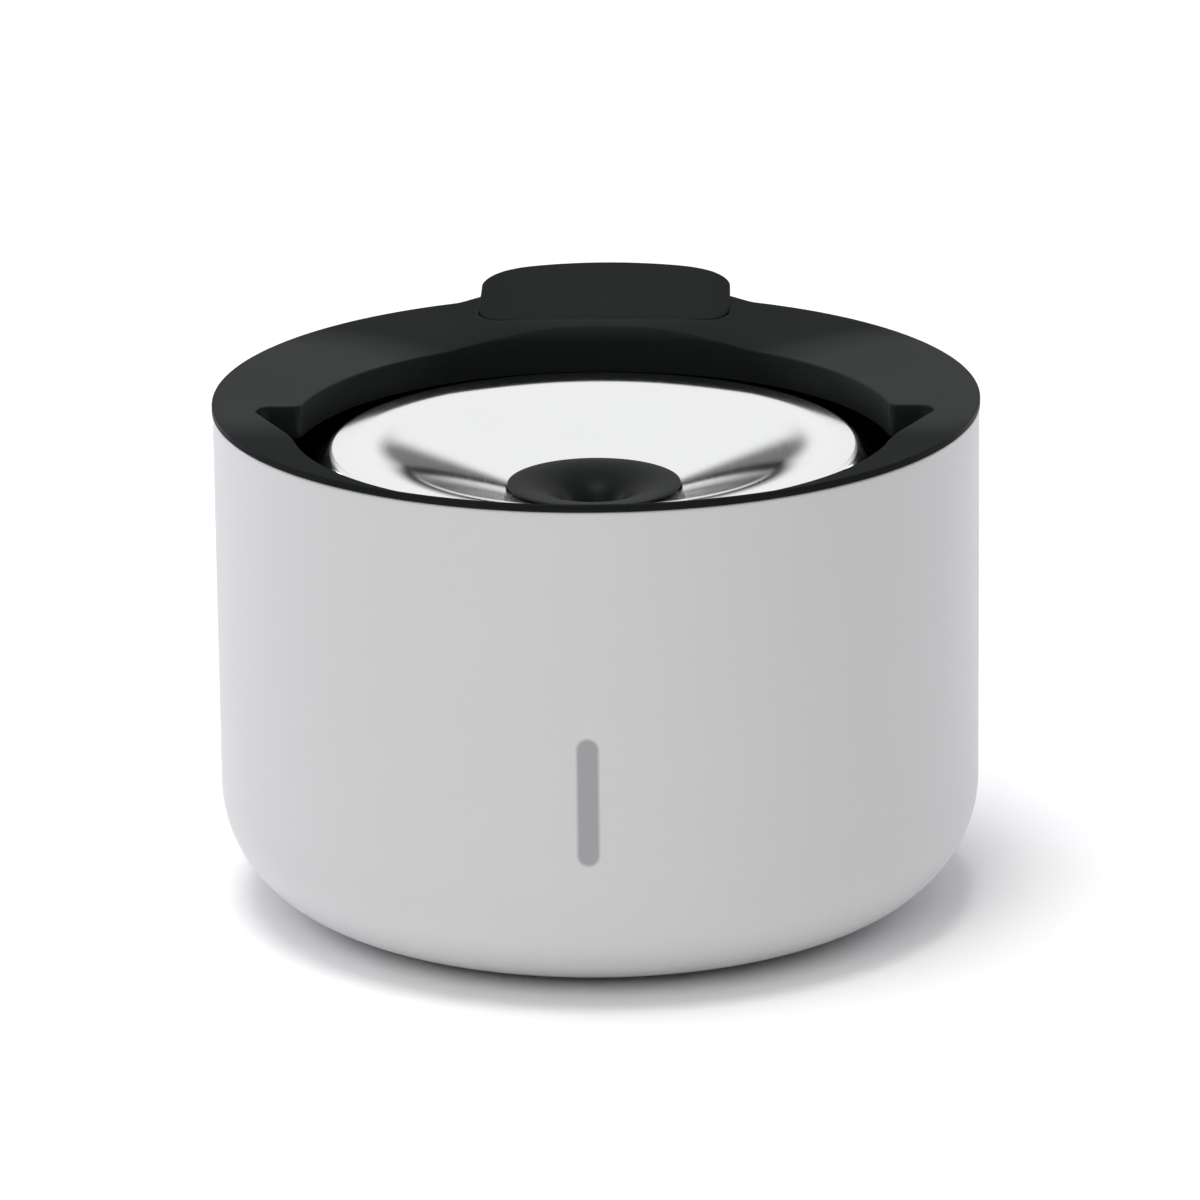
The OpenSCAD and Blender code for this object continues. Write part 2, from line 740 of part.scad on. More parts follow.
module lid_ring() {
    color("dimgray")
        difference() {
            union() {
                translate([0, 0, rim_z])
                    cylinder(r = lid_r, h = lid_band_h);
                intersection() {
                    arched_block(hump_y, lid_top_z + hump_h, hump_climb);
                    ridge_block(hump_y, lid_top_z + hump_h, -hump_fall);
                    translate([0, 0, rim_z])
                        cylinder(r = lid_r, h = lid_band_h + hump_h);
                    translate([-tank_r, hump_y - hump_run, 0])
                        cube([tank_d, tank_d, 2 * rim_z]);
                }
                tube(skirt_r, skirt_in_r, skirt_bottom_z, rim_z + slip);
                intersection() {
                    translate([0, 0, lid_top_z - opening_wall_h])
                        linear_extrude(height = opening_wall_h)
                            opening_outline(opening_wall_t);
                    cylinder(r = skirt_r, h = rim_z + slip);
                }
                intersection() {
                    translate([-pocket_x, cap_front_y, pocket_floor_z - pocket_floor_t])
                        cube([2 * pocket_x, tank_r, rim_z + slip - pocket_floor_z + pocket_floor_t]);
                    cylinder(r = skirt_r, h = 2 * rim_z);
                }
                for (p = screw_places)
                    translate([p[0], p[1], tray_z + tray_t])
                        cylinder(r = boss_r, h = rim_z - tray_z - tray_t + slip);
            }
            opening_space();
            translate([0, 0, pocket_floor_z])
                linear_extrude(height = cap_cut_h)
                    cap_outline(cap_gap);
            translate([0, 0, pocket_floor_z - 2 * pocket_floor_t])
                linear_extrude(height = 3 * pocket_floor_t)
                    port_outline(0);
            for (p = screw_places)
                translate([p[0], p[1], tray_z + tray_t - cut])
                    cylinder(r = tray_screw_d / 2, h = screw_bite + 2 * cut);
            tube(skirt_r + cut, skirt_r - seal_sunk, seal_z, seal_z + seal_h);
        }
}

module lid_seal() {
    color("gray")
        tube(skirt_r + seal_proud, skirt_r - seal_sunk, seal_z, seal_z + seal_h);
}

module tray_screws() {
    color("silver")
        for (p = screw_places)
            translate([p[0], p[1], 0]) {
                translate([0, 0, tray_z - screw_head_h])
                    cylinder(r = screw_head_r, h = screw_head_h);
                translate([0, 0, tray_z])
                    cylinder(r = tray_screw_d / 2, h = tray_t + screw_bite);
            }
}

// The cap is hollow below, with a collar that drops into the port.
module refill_cap() {
    color("dimgray")
        difference() {
            union() {
                intersection() {
                    translate([0, 0, cap_bottom_z])
                        linear_extrude(height = cap_cut_h)
                            cap_outline(0);
                    ridge_block(cap_front_y, cap_top_z, cap_rise);
                }
                translate([0, 0, collar_bottom_z])
                    linear_extrude(height = cap_bottom_z - collar_bottom_z + cap_skin)
                        port_outline(-seat_gap);
            }
            intersection() {
                translate([0, 0, collar_bottom_z - cut])
                    linear_extrude(height = cap_cut_h + cap_h)
                        difference() {
                            cap_outline(-cap_skin);
                            difference() {
                                port_outline(-seat_gap);
                                port_outline(-seat_gap - collar_t);
                            }
                        }
                ridge_block(cap_front_y, cap_top_z - cap_skin, cap_rise);
            }
        }
}

module drip_tray() {
    color("dimgray")
        difference() {
            rotate_extrude()
                polygon([
                    [0, tray_z], [tray_floor_r, tray_z],
                    [skirt_r, tray_top_z - tray_rim_h], [skirt_r, tray_top_z],
                    [skirt_r - tray_t, tray_top_z], [skirt_r - tray_t, tray_top_z - tray_rim_h],
                    [tray_floor_r - tray_t, tray_z + tray_t], [0, tray_z + tray_t]
                ]);
            translate([0, dish_y, tray_z - cut])
                cylinder(r = basket_r + slip, h = tray_t + 2 * cut);
            for (p = screw_places)
                translate([p[0], p[1], tray_z - cut])
                    cylinder(r = tray_screw_d / 2 + slip, h = tray_t + 2 * cut);
        }
}

// A ring with openings, through which the water runs to the filter
module dish_support() {
    flow_gap_h = support_top_z - tray_z - tray_t - flow_sill_h - flow_head_h;
    color("dimgray")
        translate([0, dish_y, 0])
            difference() {
                tube(support_r, support_r - support_t, tray_z + tray_t, support_top_z);
                for (a = [0:45:135])
                    rotate([0, 0, a])
                        translate([-support_r - cut, -flow_gap_w, tray_z + tray_t + flow_sill_h])
                            cube([2 * support_r + 2 * cut, 2 * flow_gap_w, flow_gap_h]);
            }
}

// Radial slots through a disc, from r1 to r2
module radial_slots(r1, r2, w, z1, z2) {
    for (i = [0:slot_count - 1])
        rotate([0, 0, i * 360 / slot_count])
            translate([r1, -w / 2, z1])
                cube([r2 - r1, w, z2 - z1]);
}

module filter_basket() {
    color("gainsboro")
        translate([0, dish_y, 0])
            difference() {
                union() {
                    translate([0, 0, tray_z + tray_t])
                        cylinder(r = basket_r + basket_flange_w, h = basket_flange_t);
                    translate([0, 0, basket_bottom_z])
                        cylinder(r = basket_r, h = basket_h + tray_t);
                }
                difference() {
                    translate([0, 0, basket_bottom_z + basket_t])
                        cylinder(r = basket_r - basket_t, h = basket_h + tray_t + basket_flange_t);
                    cylinder(r = sleeve_r, h = sleeve_top_z);
                }
                translate([0, 0, basket_bottom_z - cut])
                    cylinder(r = sleeve_r - sleeve_t, h = sleeve_top_z - basket_bottom_z + 2 * cut);
                radial_slots(sleeve_r + slot_inset, basket_r - slot_outset, basket_slot_w,
                    basket_bottom_z - cut, basket_bottom_z + basket_t + cut);
            }
}

module filter_cartridge() {
    r_out = basket_r - basket_t - 0.4;
    r_in = sleeve_r + 0.4;
        color("whitesmoke")
        translate([0, dish_y, 0])
            rotate_extrude()
                round_rect(r_in, cartridge_z, r_out, cartridge_z + cartridge_h, cartridge_edge_r);
}

module filter_cover() {
    color("gainsboro")
        translate([0, dish_y, 0])
            difference() {
                tube(basket_r - basket_t - 0.2, sleeve_r + 0.2, cover_z, cover_z + cover_t);
                radial_slots(sleeve_r + slot_inset, basket_r - slot_outset, cover_slot_w,
                    cover_z - cut, cover_z + cover_t + cut);
            }
}

module dish() {
    color("silver")
        translate([0, dish_y, 0])
            rotate_extrude()
                polygon(concat(dish_path, backwards(beside(dish_path, dish_t))));
}

// A sleeve in the dish's hole, with a lip that follows the dish's underside
module spout_gasket() {
    lip_r1 = hole_r + gasket_lip_w;
    under = hole_z - dish_t / cos(floor_angle);
    lip_z = under + gasket_lip_w * tan(floor_angle);
    color("gray")
        translate([0, dish_y, 0])
            rotate_extrude()
                polygon([
                    [hole_r - gasket_t, hole_z - gasket_t], [hole_r, hole_z - gasket_t / 2],
                    [hole_r, under], [lip_r1, lip_z], [lip_r1, lip_z - gasket_t],
                    [hole_r, under - gasket_t], [hole_r - gasket_t, under - gasket_t]
                ]);
}

module spout_cup() {
    trumpet_w = trumpet_edge_r - cup_hole_r;
    trumpet = [for (a = [0:6:90])
        [trumpet_edge_r - trumpet_w * sin(a), cup_rim_z - cup_depth * (1 - cos(a))]];
    color("dimgray")
        translate([0, dish_y, 0])
            rotate_extrude()
                polygon(concat(
                    [[cup_d / 2, cup_rim_z - 0.2], [cup_d / 2, cup_rim_bottom_z],
                     [cup_body_r, cup_rim_bottom_z], [cup_body_r, cup_rim_bottom_z - 4],
                     [stem_r, cup_foot_z], [stem_r, stem_bottom_z], [stem_in_r, stem_bottom_z],
                     [stem_in_r, cup_foot_z - 1], [cup_hole_r, cup_foot_z - 1]],
                    backwards(trumpet),
                    [[cup_d / 2 - 0.2, cup_rim_z]]));
}

module riser_tube() {
    color("lightgray")
        translate([0, dish_y, 0])
            tube(riser_r, riser_in_r, riser_bottom_z, riser_top_z);
}

module pump_cage() {
    slot_h = cage_top_z - floor_z - 2 * cage_slot_end;
    cage_mid_y = (cage_front_y + cage_back_y) / 2;
    color("whitesmoke")
        difference() {
            translate([0, 0, floor_z])
                linear_extrude(height = cage_top_z - floor_z)
                    round_rect(-cage_x, cage_front_y, cage_x, cage_back_y, cage_corner_r);
            translate([0, 0, floor_z - cut])
                linear_extrude(height = cage_top_z - floor_z - cage_wall + cut)
                    round_rect(-cage_x + cage_wall, cage_front_y + cage_wall,
                        cage_x - cage_wall, cage_back_y - cage_wall, cage_corner_r - cage_wall);
            translate([0, dish_y, cage_top_z - cage_wall - cut])
                cylinder(r = riser_r + seat_gap, h = cage_wall + 2 * cut);
            for (x = [-3:3])
                translate([x * cage_slot_pitch, cage_front_y, floor_z + cage_slot_end])
                    translate([-cage_slot_w / 2, -cut, 0])
                        cube([cage_slot_w, cage_wall + 2 * cut, slot_h]);
            for (i = [-5:5])
                translate([-cage_x - cut, cage_mid_y + i * cage_slot_pitch, floor_z + cage_slot_end])
                    cube([2 * cage_x + 2 * cut, cage_slot_w, slot_h]);
            translate([-lead_r - 1, cage_back_y - cage_wall - cut, floor_z - cut])
                cube([lead_d + 2, cage_wall + 2 * cut, lead_pump_z - floor_z + lead_r + 2]);
        }
}

module pump_foam() {
    color("dimgray")
        translate([0, 0, floor_z + slip])
            linear_extrude(height = cage_top_z - cage_wall - floor_z - 2 * slip)
                round_rect(-cage_x + cage_wall + slip, foam_front_y, cage_x - cage_wall - slip, foam_back_y,
                    cage_corner_r - cage_wall);
}

module pump_body() {
    color("darkslategray")
        difference() {
            translate([0, 0, pump_bottom_z])
                linear_extrude(height = pump_h)
                    round_rect(-pump_w / 2, cover_back_y, pump_w / 2, motor_back_y, 2);
            rod_y(magnet_r + magnet_gap, cover_back_y - cut, rotor_bore_end_y, 0, pump_axis_z);
            rod_y(bush_r, cover_back_y, rear_bush_y + bush_len, 0, pump_axis_z);
            difference() {
                rod_y(pump_seal_in_r + pump_seal_w, cover_back_y - cut, cover_back_y + pump_seal_t,
                    0, pump_axis_z);
                rod_y(pump_seal_in_r, cover_back_y - 2 * cut, cover_back_y + 2 * pump_seal_t,
                    0, pump_axis_z);
            }
            pump_screw_bars(pump_screw_r, cover_back_y - cut, cover_front_y + pump_screw_len + 0.5);
            sucker_pegs(sucker_peg_r + 0.05, sucker_peg_h + 0.2);
        }
}

module pump_screw_bars(r, y1, y2) {
    for (x = [-pump_screw_x, pump_screw_x])
        for (z = [-pump_screw_z, pump_screw_z])
            rod_y(r, y1, y2, x, pump_axis_z + z);
}

module pump_cover() {
    head_y = cover_front_y - regulator_t - 2 * regulator_gap;
    color("darkslategray")
        difference() {
            union() {
                difference() {
                    union() {
                        translate([0, 0, pump_bottom_z])
                            linear_extrude(height = pump_h)
                                round_rect(-pump_w / 2, cover_front_y, pump_w / 2, cover_back_y, 2);
                        translate([0, dish_y, pump_top_z - cut])
                            cylinder(r = nozzle_r, h = nozzle_h + cut);
                    }
                    rod_y(chamber_r, cover_front_y + cover_front_t, cover_back_y + cut, 0, pump_axis_z);
                    rod_y(intake_r, cover_front_y - cut, cover_back_y, 0, pump_axis_z);
                    translate([0, dish_y, pump_axis_z])
                        cylinder(r = nozzle_bore_r, h = nozzle_top_z - pump_axis_z + cut);
                }
                rod_y(spider_r, cover_front_y, front_bush_y + bush_len, 0, pump_axis_z);
                for (a = [90, 210, 330])
                    translate([0, 0, pump_axis_z])
                        rotate([0, a, 0])
                            translate([0, cover_front_y, -spider_arm_w / 2])
                                cube([intake_r + 1, cover_front_t, spider_arm_w]);
                rod_y(regulator_pin_r, head_y, cover_front_y + cover_front_t / 2, 0, pump_axis_z);
                rod_y(regulator_head_r, head_y - regulator_head_t, head_y, 0, pump_axis_z);
            }
            rod_y(bush_r, front_bush_y, front_bush_y + bush_len + cut, 0, pump_axis_z);
            pump_screw_bars(pump_screw_r + 0.1, cover_front_y - cut, cover_back_y + cut);
        }
}

module pump_seal() {
    color("gray")
        difference() {
            rod_y(pump_seal_in_r + pump_seal_w, cover_back_y + pump_seal_slip, cover_back_y + pump_seal_t,
                0, pump_axis_z);
            rod_y(pump_seal_in_r, cover_back_y - cut, cover_back_y + 2 * pump_seal_t, 0, pump_axis_z);
        }
}

module pump_screws() {
    color("silver") {
        pump_screw_bars(pump_screw_r, cover_front_y, cover_front_y + pump_screw_len);
        pump_screw_bars(pump_screw_r + 0.9, cover_front_y - 1.2, cover_front_y);
    }
}

module flow_regulator() {
    y1 = cover_front_y - regulator_t - regulator_gap;
    y2 = cover_front_y - regulator_gap;
    color("gainsboro")
        difference() {
            union() {
                rod_y(regulator_r, y1, y2, 0, pump_axis_z);
                translate([-regulator_tab_w / 2, y1, pump_axis_z])
                    cube([regulator_tab_w, regulator_t, regulator_tab_r]);
            }
            rod_y(regulator_pin_r + 0.05, y1 - cut, y2 + cut, 0, pump_axis_z);
            for (a = [30, 150, 270])
                translate([0, 0, pump_axis_z])
                    rotate([0, a, 0])
                        rod_y(regulator_port_r, y1 - cut, y2 + cut, regulator_port_x, 0);
        }
}

module impeller() {
    color("white")
        difference() {
            union() {
                rod_y(hub_r, impeller_front_y, impeller_back_y, 0, pump_axis_z);
                rod_y(impeller_r, impeller_back_y - impeller_disc_t, impeller_back_y, 0, pump_axis_z);
                for (i = [0:vane_count - 1])
                    translate([0, 0, pump_axis_z])
                        rotate([0, i * 360 / vane_count, 0])
                            translate([hub_r - vane_root, impeller_front_y + slip, -vane_t / 2])
                                cube([impeller_r - 0.3 - hub_r + vane_root, vane_len, vane_t]);
            }
            rod_y(shaft_r + shaft_fit, impeller_front_y - cut, impeller_back_y + cut, 0, pump_axis_z);
        }
}

module rotor_magnet() {
    color("black")
        difference() {
            rod_y(magnet_r, impeller_back_y, impeller_back_y + magnet_len, 0, pump_axis_z);
            rod_y(shaft_r + shaft_fit, impeller_back_y - cut, rotor_bore_end_y, 0, pump_axis_z);
        }
}

module impeller_shaft() {
    color("white")
        rod_y(shaft_r, shaft_front_y, shaft_back_y, 0, pump_axis_z);
}

module shaft_bushes() {
    color("gray")
        difference() {
            union() {
                rod_y(bush_r, front_bush_y, front_bush_y + bush_len, 0, pump_axis_z);
                rod_y(bush_r, rear_bush_y, rear_bush_y + bush_len, 0, pump_axis_z);
            }
            rod_y(shaft_r, shaft_front_y, shaft_back_y, 0, pump_axis_z);
        }
}

// Places of the four suction cups under the motor block
module at_suckers() {
    for (x = [-pump_w / 2 + sucker_inset, pump_w / 2 - sucker_inset])
        for (y = [cover_back_y + sucker_inset, motor_back_y - sucker_inset])
            translate([x, y, 0])
                children();
}

module sucker_pegs(r, h) {
    at_suckers()
        translate([0, 0, pump_bottom_z - cut])
            cylinder(r = r, h = h + cut);
}

module suction_cups() {
    color("gray") {
        at_suckers()
            rotate_extrude()
                polygon([
                    [0, floor_z + 0.8], [sucker_r - 1.4, floor_z], [sucker_r, floor_z],
                    [sucker_r, floor_z + 0.7], [sucker_neck_r, floor_z + 3],
                    [sucker_neck_r, pump_bottom_z], [sucker_peg_r, pump_bottom_z],
                    [sucker_peg_r, pump_bottom_z + sucker_peg_h], [0, pump_bottom_z + sucker_peg_h]
                ]);
    }
}

// A round lead swept along a smooth path that stays in the plane x = 0
module lead_tube(path, r, sides) {
    last = len(path) - 1;
    rings = [for (i = [0:last])
        let (
            d = unit(path[min(i + 1, last)] - path[max(i - 1, 0)]),
            side = [1, 0, 0],
            up = cross(d, side)
        )
        for (k = [0:sides - 1])
            path[i] + r * (cos(k * 360 / sides) * side + sin(k * 360 / sides) * up)];
    walls = [for (i = [0:last - 1])
        for (k = [0:sides - 1])
            let (n = (k + 1) % sides)
            [i * sides + k, i * sides + n, (i + 1) * sides + n, (i + 1) * sides + k]];
    ends = [[for (k = [sides - 1:-1:0]) k], [for (k = [0:sides - 1]) last * sides + k]];
    polyhedron(points = rings, faces = concat(walls, ends));
}

module pump_lead() {
    color("gray")
        lead_tube(curve_through(lead_points, 4), lead_r, lead_sides);
}

module lead_clips() {
    color("gainsboro") {
        difference() {
            intersection() {
                translate([-clip_w / 2, lead_wall_y - lead_r - clip_t, wall_clip_z])
                    cube([clip_w, lead_d + 2 * clip_t, clip_len]);
                cylinder(r = tank_in_r, h = rim_z);
            }
            translate([0, lead_wall_y, wall_clip_z - cut])
                cylinder(r = lead_r + clip_fit, h = clip_len + 2 * cut);
        }
        difference() {
            translate([-clip_w / 2, floor_clip_y - clip_len, floor_z])
                cube([clip_w, clip_len, lead_floor_z - floor_z + lead_r + clip_t]);
            rod_y(lead_r + clip_fit, floor_clip_y - clip_len - cut, floor_clip_y + cut, 0, lead_floor_z);
        }
    }
}

housing();
level_window();
window_seal();
base_pad();
dc_inlet();
inlet_seal();
inlet_nut();
lid_ring();
lid_seal();
tray_screws();
refill_cap();
drip_tray();
dish_support();
filter_basket();
filter_cartridge();
filter_cover();
dish();
spout_gasket();
spout_cup();
riser_tube();
pump_cage();
pump_foam();
pump_body();
pump_cover();
pump_seal();
pump_screws();
flow_regulator();
impeller();
rotor_magnet();
impeller_shaft();
shaft_bushes();
suction_cups();
pump_lead();
lead_clips();
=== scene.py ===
import bpy
import bmesh
from math import asin, atan2, ceil, cos, hypot, pi, radians, sin, sqrt, tan
from mathutils import Matrix, Vector


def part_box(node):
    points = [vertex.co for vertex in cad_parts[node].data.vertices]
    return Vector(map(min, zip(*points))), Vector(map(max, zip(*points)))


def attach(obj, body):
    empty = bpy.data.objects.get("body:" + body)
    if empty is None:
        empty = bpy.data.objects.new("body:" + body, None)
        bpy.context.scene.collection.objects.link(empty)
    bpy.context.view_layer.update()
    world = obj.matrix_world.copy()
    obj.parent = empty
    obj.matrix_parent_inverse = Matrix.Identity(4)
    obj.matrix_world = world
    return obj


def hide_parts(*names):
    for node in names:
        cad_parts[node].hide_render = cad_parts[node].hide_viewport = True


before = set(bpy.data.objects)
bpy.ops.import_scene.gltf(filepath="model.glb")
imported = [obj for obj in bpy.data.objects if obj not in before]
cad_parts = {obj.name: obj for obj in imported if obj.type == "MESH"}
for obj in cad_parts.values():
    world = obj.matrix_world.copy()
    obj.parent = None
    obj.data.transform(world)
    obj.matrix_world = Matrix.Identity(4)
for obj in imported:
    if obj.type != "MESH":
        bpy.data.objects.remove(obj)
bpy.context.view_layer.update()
mm = 0.001
scene = bpy.context.scene


def nodeBox(name):
    # lengths are in millimetres until a mesh is made
    low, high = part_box(name)
    return low / mm, high / mm


tankLow, tankHigh = nodeBox("housing")
dishLow, dishHigh = nodeBox("dish")
cupLow, cupHigh = nodeBox("spout_cup")
capHigh = nodeBox("refill_cap")[1]
tankR = tankHigh.x
lidR = nodeBox("lid_ring")[1].x
dishR = dishHigh.x
dishY = (dishLow.y + dishHigh.y) / 2


def smoothStep(t):
    t = min(max(t, 0.0), 1.0)
    return t * t * (3 - 2 * t)


def roundCorners(points, radii, steps=8, closed=False):
    # a path in a plane whose corners are turned into arcs, radius 0 leaves a point as it is
    points = [Vector(p) for p in points]
    count = len(points)
    path = []
    for i, corner in enumerate(points):
        if not closed and i in (0, count - 1):
            path.append(corner)
            continue
        radius = radii[i]
        if radius <= 0:
            path.append(corner)
            continue
        u = (points[i - 1] - corner).normalized()
        v = (points[(i + 1) % count] - corner).normalized()
        half = u.angle(v) / 2
        first = corner + u * radius / tan(half)
        last = corner + v * radius / tan(half)
        middle = corner + (u + v).normalized() * radius / sin(half)
        start = atan2(first.y - middle.y, first.x - middle.x)
        turn = (atan2(last.y - middle.y, last.x - middle.x) - start + 3 * pi) % (2 * pi) - pi
        for k in range(steps + 1):
            a = start + turn * k / steps
            path.append(middle + radius * Vector((cos(a), sin(a))))
    return path


def sideStep(path, distance):
    # the path moved to its right by a distance
    moved = []
    for i, p in enumerate(path):
        along = (path[min(i + 1, len(path) - 1)] - path[max(i - 1, 0)]).normalized()
        moved.append(p + distance * Vector((along.y, -along.x)))
    return moved


def makeMesh(name, verts, faces):
    mesh = bpy.data.meshes.new(name)
    mesh.from_pydata([tuple(c * mm for c in v) for v in verts], [], faces)
    work = bmesh.new()
    work.from_mesh(mesh)
    bmesh.ops.remove_doubles(work, verts=work.verts, dist=0.0005 * mm)
    bmesh.ops.recalc_face_normals(work, faces=work.faces)
    work.to_mesh(mesh)
    work.free()
    obj = bpy.data.objects.new(name, mesh)
    scene.collection.objects.link(obj)
    return obj


def spin(name, profile, centreY=0.0, steps=256, closed=True):
    # turns a profile of (radius, height) points round an upright axis
    verts = []
    rings = []
    for r, z in profile:
        if r < 1e-5:
            rings.append([len(verts)])
            verts.append((0.0, centreY, z))
        else:
            rings.append(list(range(len(verts), len(verts) + steps)))
            for i in range(steps):
                a = 2 * pi * i / steps
                verts.append((r * cos(a), centreY + r * sin(a), z))
    faces = []
    pairs = list(zip(rings, rings[1:]))
    if closed:
        pairs.append((rings[-1], rings[0]))
    for a, b in pairs:
        for i in range(steps):
            j = (i + 1) % steps
            if len(a) == 1 and len(b) == 1:
                break
            if len(a) == 1:
                faces.append((a[0], b[i], b[j]))
            elif len(b) == 1:
                faces.append((a[i], a[j], b[0]))
            else:
                faces.append((a[i], a[j], b[j], b[i]))
    return makeMesh(name, verts, faces)


def skin(name, loops, closed=True, capFirst=False, capLast=False):
    # joins loops of equally many points into a surface
    count = len(loops[0])
    verts = [p for loop in loops for p in loop]
    faces = []
    pairs = [(k, k + 1) for k in range(len(loops) - 1)]
    if closed:
        pairs.append((len(loops) - 1, 0))
    for a, b in pairs:
        for i in range(count):
            j = (i + 1) % count
            faces.append((a * count + i, a * count + j, b * count + j, b * count + i))
    if capFirst:
        faces.append(tuple(range(count)))
    if capLast:
        faces.append(tuple((len(loops) - 1) * count + i for i in range(count)))
    return makeMesh(name, verts, faces)


def prism(name, outline, bottom, top):
    # an upright bar over an outline
    loops = [[(p[0], p[1], z) for p in outline] for z in (bottom, top)]
    return skin(name, loops, closed=False, capFirst=True, capLast=True)


def carve(obj, tool, operation="DIFFERENCE"):
    # boolean with another mesh, which is used up
    step = obj.modifiers.new("carve", "BOOLEAN")
    step.operation = operation
    step.object = tool
    step.solver = "EXACT"
    graph = bpy.context.evaluated_depsgraph_get()
    result = bpy.data.meshes.new_from_object(obj.evaluated_get(graph))
    obj.modifiers.remove(step)
    old = obj.data
    obj.data = result
    bpy.data.meshes.remove(old)
    bpy.data.objects.remove(tool)
    return obj


def join(first, *others):
    # puts meshes that touch into one object
    work = bmesh.new()
    for obj in (first,) + others:
        work.from_mesh(obj.data)
    work.to_mesh(first.data)
    work.free()
    for obj in others:
        bpy.data.objects.remove(obj)
    return first


def dress(obj, material, body, stands, sharp=32):
    # finish, shading and place of a finished piece
    mesh = obj.data
    mesh.materials.clear()
    mesh.materials.append(material)
    for face in mesh.polygons:
        face.use_smooth = True
    mesh.set_sharp_from_angle(angle=radians(sharp))
    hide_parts(*stands)
    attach(obj, body)
    return obj


def newGroup(name, inputs, outputs):
    group = bpy.data.node_groups.new(name, "ShaderNodeTree")
    for label, kind, value in inputs:
        socket = group.interface.new_socket(label, in_out="INPUT", socket_type=kind)
        socket.default_value = value
    for label, kind in outputs:
        group.interface.new_socket(label, in_out="OUTPUT", socket_type=kind)
    start = group.nodes.new("NodeGroupInput")
    end = group.nodes.new("NodeGroupOutput")
    return group, start, end


def addNode(tree, kind, settings=None, **values):
    node = tree.nodes.new(kind)
    for key, value in (settings or {}).items():
        setattr(node, key, value)
    for key, value in values.items():
        node.inputs[key.replace("_", " ")].default_value = value
    return node


def mathNode(tree, operation, a=None, b=None):
    node = tree.nodes.new("ShaderNodeMath")
    node.operation = operation
    for socket, value in zip(node.inputs, (a, b)):
        if value is None:
            continue
        if isinstance(value, (int, float)):
            socket.default_value = value
        else:
            tree.links.new(value, socket)
    return node.outputs[0]


def makeGrain():
    # fine moulded texture: a height for a bump and a mottle that varies roughness
    group, start, end = newGroup("mouldGrain", [
        ("Scale", "NodeSocketFloat", 900.0),
        ("Mottle Scale", "NodeSocketFloat", 14.0),
    ], [("Height", "NodeSocketFloat"), ("Mottle", "NodeSocketFloat")])
    place = addNode(group, "ShaderNodeTexCoord")
    fine = addNode(group, "ShaderNodeTexNoise", Detail=3.0, Roughness=0.6)
    coarse = addNode(group, "ShaderNodeTexNoise", Detail=2.0, Roughness=0.45)
    group.links.new(place.outputs["Object"], fine.inputs["Vector"])
    group.links.new(place.outputs["Object"], coarse.inputs["Vector"])
    group.links.new(start.outputs["Scale"], fine.inputs["Scale"])
    group.links.new(start.outputs["Mottle Scale"], coarse.inputs["Scale"])
    group.links.new(fine.outputs["Fac"], end.inputs["Height"])
    group.links.new(coarse.outputs["Fac"], end.inputs["Mottle"])
    return group


def makeEdgeWear():
    # a mask along outer edges, broken up by noise
    group, start, end = newGroup("edgeWear", [
        ("Width", "NodeSocketFloat", 0.06),
        ("Break Up", "NodeSocketFloat", 60.0),
    ], [("Mask", "NodeSocketFloat")])
    shape = addNode(group, "ShaderNodeNewGeometry")
    place = addNode(group, "ShaderNodeTexCoord")
    patches = addNode(group, "ShaderNodeTexNoise", Detail=4.0)
    group.links.new(place.outputs["Object"], patches.inputs["Vector"])
    group.links.new(start.outputs["Break Up"], patches.inputs["Scale"])
    lifted = mathNode(group, "SUBTRACT", shape.outputs["Pointiness"], 0.5)
    scaled = mathNode(group, "DIVIDE", lifted, start.outputs["Width"])
    broken = mathNode(group, "MULTIPLY", scaled, patches.outputs["Fac"])
    clipped = group.nodes.new("ShaderNodeClamp")
    group.links.new(broken, clipped.inputs["Value"])
    group.links.new(clipped.outputs[0], end.inputs["Mask"])
    return group


def makeTint():
    # shifts a colour lighter or darker by a mask
    group, start, end = newGroup("tintByMask", [
        ("Color", "NodeSocketColor", (0.5, 0.5, 0.5, 1.0)),
        ("Other Color", "NodeSocketColor", (0.6, 0.6, 0.6, 1.0)),
        ("Mask", "NodeSocketFloat", 0.0),
        ("Amount", "NodeSocketFloat", 0.3),
    ], [("Color", "NodeSocketColor")])
    share = mathNode(group, "MULTIPLY", start.outputs["Mask"], start.outputs["Amount"])
    mix = addNode(group, "ShaderNodeMix", {"data_type": "RGBA"})
    group.links.new(share, mix.inputs[0])
    group.links.new(start.outputs["Color"], mix.inputs[6])
    group.links.new(start.outputs["Other Color"], mix.inputs[7])
    group.links.new(mix.outputs[2], end.inputs["Color"])
    return group


